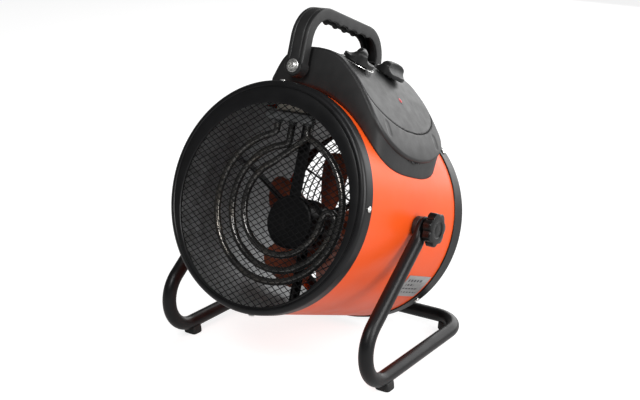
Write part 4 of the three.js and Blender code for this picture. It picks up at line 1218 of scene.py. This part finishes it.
def add_pivots():
    for name, side in (("left", -1), ("right", 1)):
        face = facing((side * CLAMP_X, 0, 0), (side, 0, 0), 0.2)
        grip = relief(star_radius, 4.2, star_height, rings=30, steps=224)
        collar = rod(9.5, (0, 0, 0.05), (0, 0, 5.0), 0.5, 48)
        piece(f"star_knob_{name}", merge(grip, collar), DRUM @ face, f"clamp_{name}", STAR_KNOB,
              [f"clamp_knob_{name}"], sharp=45)
        start = Vector((side * 117.3, 0, 0))
        outline = [(4.3, 1.8), (10.6, 1.9), (11, 2.4), (11, 7.2), (10.2, 7.9), (4.3, 7.9)]
        piece(f"pivot_washer_{name}", lathe_up(outline), DRUM @ facing(start, (side, 0, 0)), "drum",
              PLASTIC, [f"pivot_spacer_{name}"])
        stud = merge(rod(4, (side * 114.4, 0, 0), (side * 139.8, 0, 0), 0.5, 32),
                     rod(9, (side * 114.4, 0, 0), (side * 117.2, 0, 0), 0.6, 6))
        piece(f"stud_{name}", stud, DRUM, "drum", ZINC, [f"pivot_stud_{name}"])


def add_label():
    """Blank foil plate with plain printed bars in place of any wording."""
    start, end, y0, y1 = math.radians(117), math.radians(132), 33.0, 84.0
    angles = np.linspace(start, end, 49)
    lengths = np.linspace(y0, y1, 61)
    inner, outer = DRUM_R + 0.3, DRUM_R + 0.62
    layers = np.array([[[(radius * math.sin(a), y, radius * math.cos(a)) for y in lengths] for a in angles]
                       for radius in (inner, outer)])
    rims = [np.concatenate([layer[0, :-1], layer[:-1, -1], layer[-1, :0:-1], layer[:0:-1, 0]])
            for layer in layers]
    shape = merge(skin(layers[1]), skin(layers[0]), skin(rims, round_columns=True))
    obj = piece("rating_plate", shape, DRUM, "drum", [FOIL, INK], ["rating_label"])
    to_drum = DRUM.inverted()
    for polygon in obj.data.polygons:
        local = to_drum @ polygon.center
        share = (math.atan2(local.x, local.z) - start) / (end - start)
        across = (local.y - y0) / (y1 - y0)
        if math.hypot(local.x, local.z) > outer - 0.1 and printed(share, across):
            polygon.material_index = 1


def printed(share, across):
    """Plain bars: a heavy line, then three lines of dashes of differing length."""
    bars = ((0.16, 0.27, 0.10, 0.72), (0.38, 0.45, 0.12, 0.48), (0.56, 0.63, 0.10, 0.80),
            (0.74, 0.82, 0.22, 0.88))
    for low, high, left, right in bars:
        if low < share < high and left < across < right:
            return math.sin(across * 47 + low * 90) > -0.55
    return False


# ---------------------------------------------------------------- camera and studio
def add_camera():
    """Three-quarter view from the front right, a little above the drum."""
    azimuth, elevation = math.radians(34.1), math.radians(17.2)
    target, distance = Vector((0, -0.0004, 0.1625)), 1.2206
    away = Vector((math.sin(azimuth) * math.cos(elevation),
                   -math.cos(azimuth) * math.cos(elevation), math.sin(elevation)))
    data = bpy.data.cameras.new("camera")
    data.lens = 62.77
    data.sensor_width = 36
    camera = bpy.data.objects.new("camera", data)
    camera.location = target + away * distance
    camera.rotation_euler = away.to_track_quat("Z", "Y").to_euler()
    bpy.context.scene.collection.objects.link(camera)
    bpy.context.scene.camera = camera


def add_light(name, location, target, size, power):
    """A soft rectangular light that the camera doesn't see."""
    data = bpy.data.lights.new(name, "AREA")
    data.shape = "RECTANGLE"
    data.size, data.size_y = size
    data.energy = power
    light = bpy.data.objects.new(name, data)
    light.location = location
    light.visible_camera = False
    light.rotation_euler = (Vector(location) - Vector(target)).to_track_quat("Z", "Y").to_euler()
    bpy.context.scene.collection.objects.link(light)


def add_studio():
    floor = bpy.data.meshes.new("studio_floor")
    reach = 6.0
    floor.from_pydata([(-reach, -reach, 0), (reach, -reach, 0), (reach, reach, 0), (-reach, reach, 0)],
                      [], [(0, 1, 2, 3)])
    floor_object = bpy.data.objects.new("studio_floor", floor)
    bpy.context.scene.collection.objects.link(floor_object)
    paint = bpy.data.materials.new("studio_white")
    paint.use_nodes = True
    shader = paint.node_tree.nodes["Principled BSDF"]
    shader.inputs["Base Color"].default_value = (0.4, 0.4, 0.4, 1)
    shader.inputs["Roughness"].default_value = 0.9
    shader.inputs["Specular IOR Level"].default_value = 0.1
    shader.inputs["Emission Color"].default_value = (1, 1, 1, 1)
    seen_brighter(paint.node_tree, shader.inputs["Emission Strength"], 0.3, 0.82)
    floor.materials.append(paint)
    bpy.context.scene.world = studio_world()
    bpy.context.scene.view_settings.view_transform = "Standard"
    add_light("back_softbox", (0.5, 2.35, 1.15), (0, 0, 0.25), (3.6, 2.2), 64)
    add_light("side_softbox", (1.7, -0.25, 1.0), (0, 0, 0.18), (0.7, 1.3), 33)
    add_light("front_softbox", (0.35, -1.7, 1.8), (0, 0, 0.12), (0.7, 0.7), 22)


def seen_brighter(tree, socket, as_light, as_seen):
    """Gives a strength one value as a source of light and another where the camera sees it directly."""
    ray = tree.nodes.new("ShaderNodeLightPath")
    strength = tree.nodes.new("ShaderNodeMapRange")
    strength.inputs["To Min"].default_value = as_light
    strength.inputs["To Max"].default_value = as_seen
    tree.links.new(ray.outputs["Is Camera Ray"], strength.inputs["Value"])
    tree.links.new(strength.outputs["Result"], socket)


def studio_world():
    """White to the eye, dimmer as a light, so that black finishes keep their depth."""
    world = bpy.data.worlds.new("studio_world")
    world.use_nodes = True
    backdrop = world.node_tree.nodes["Background"]
    backdrop.inputs["Color"].default_value = (1, 1, 1, 1)
    seen_brighter(world.node_tree, backdrop.inputs["Strength"], 0.13, 1.0)
    return world


add_camera()
add_stand()
add_feet()
add_drum()
add_front_ring()
add_rear_ring()
add_front_grille()
add_rear_grille()
add_ring_screws()
add_liner()
add_elements()
add_motor()
add_motor_spider()
add_heat_shield()
add_fan()
add_housing()
add_knobs()
add_dial_ring()
add_lamp()
add_cord_bush()
add_handle()
add_handle_screws()
add_pivots()
add_label()
finish_kept_nodes()
add_studio()
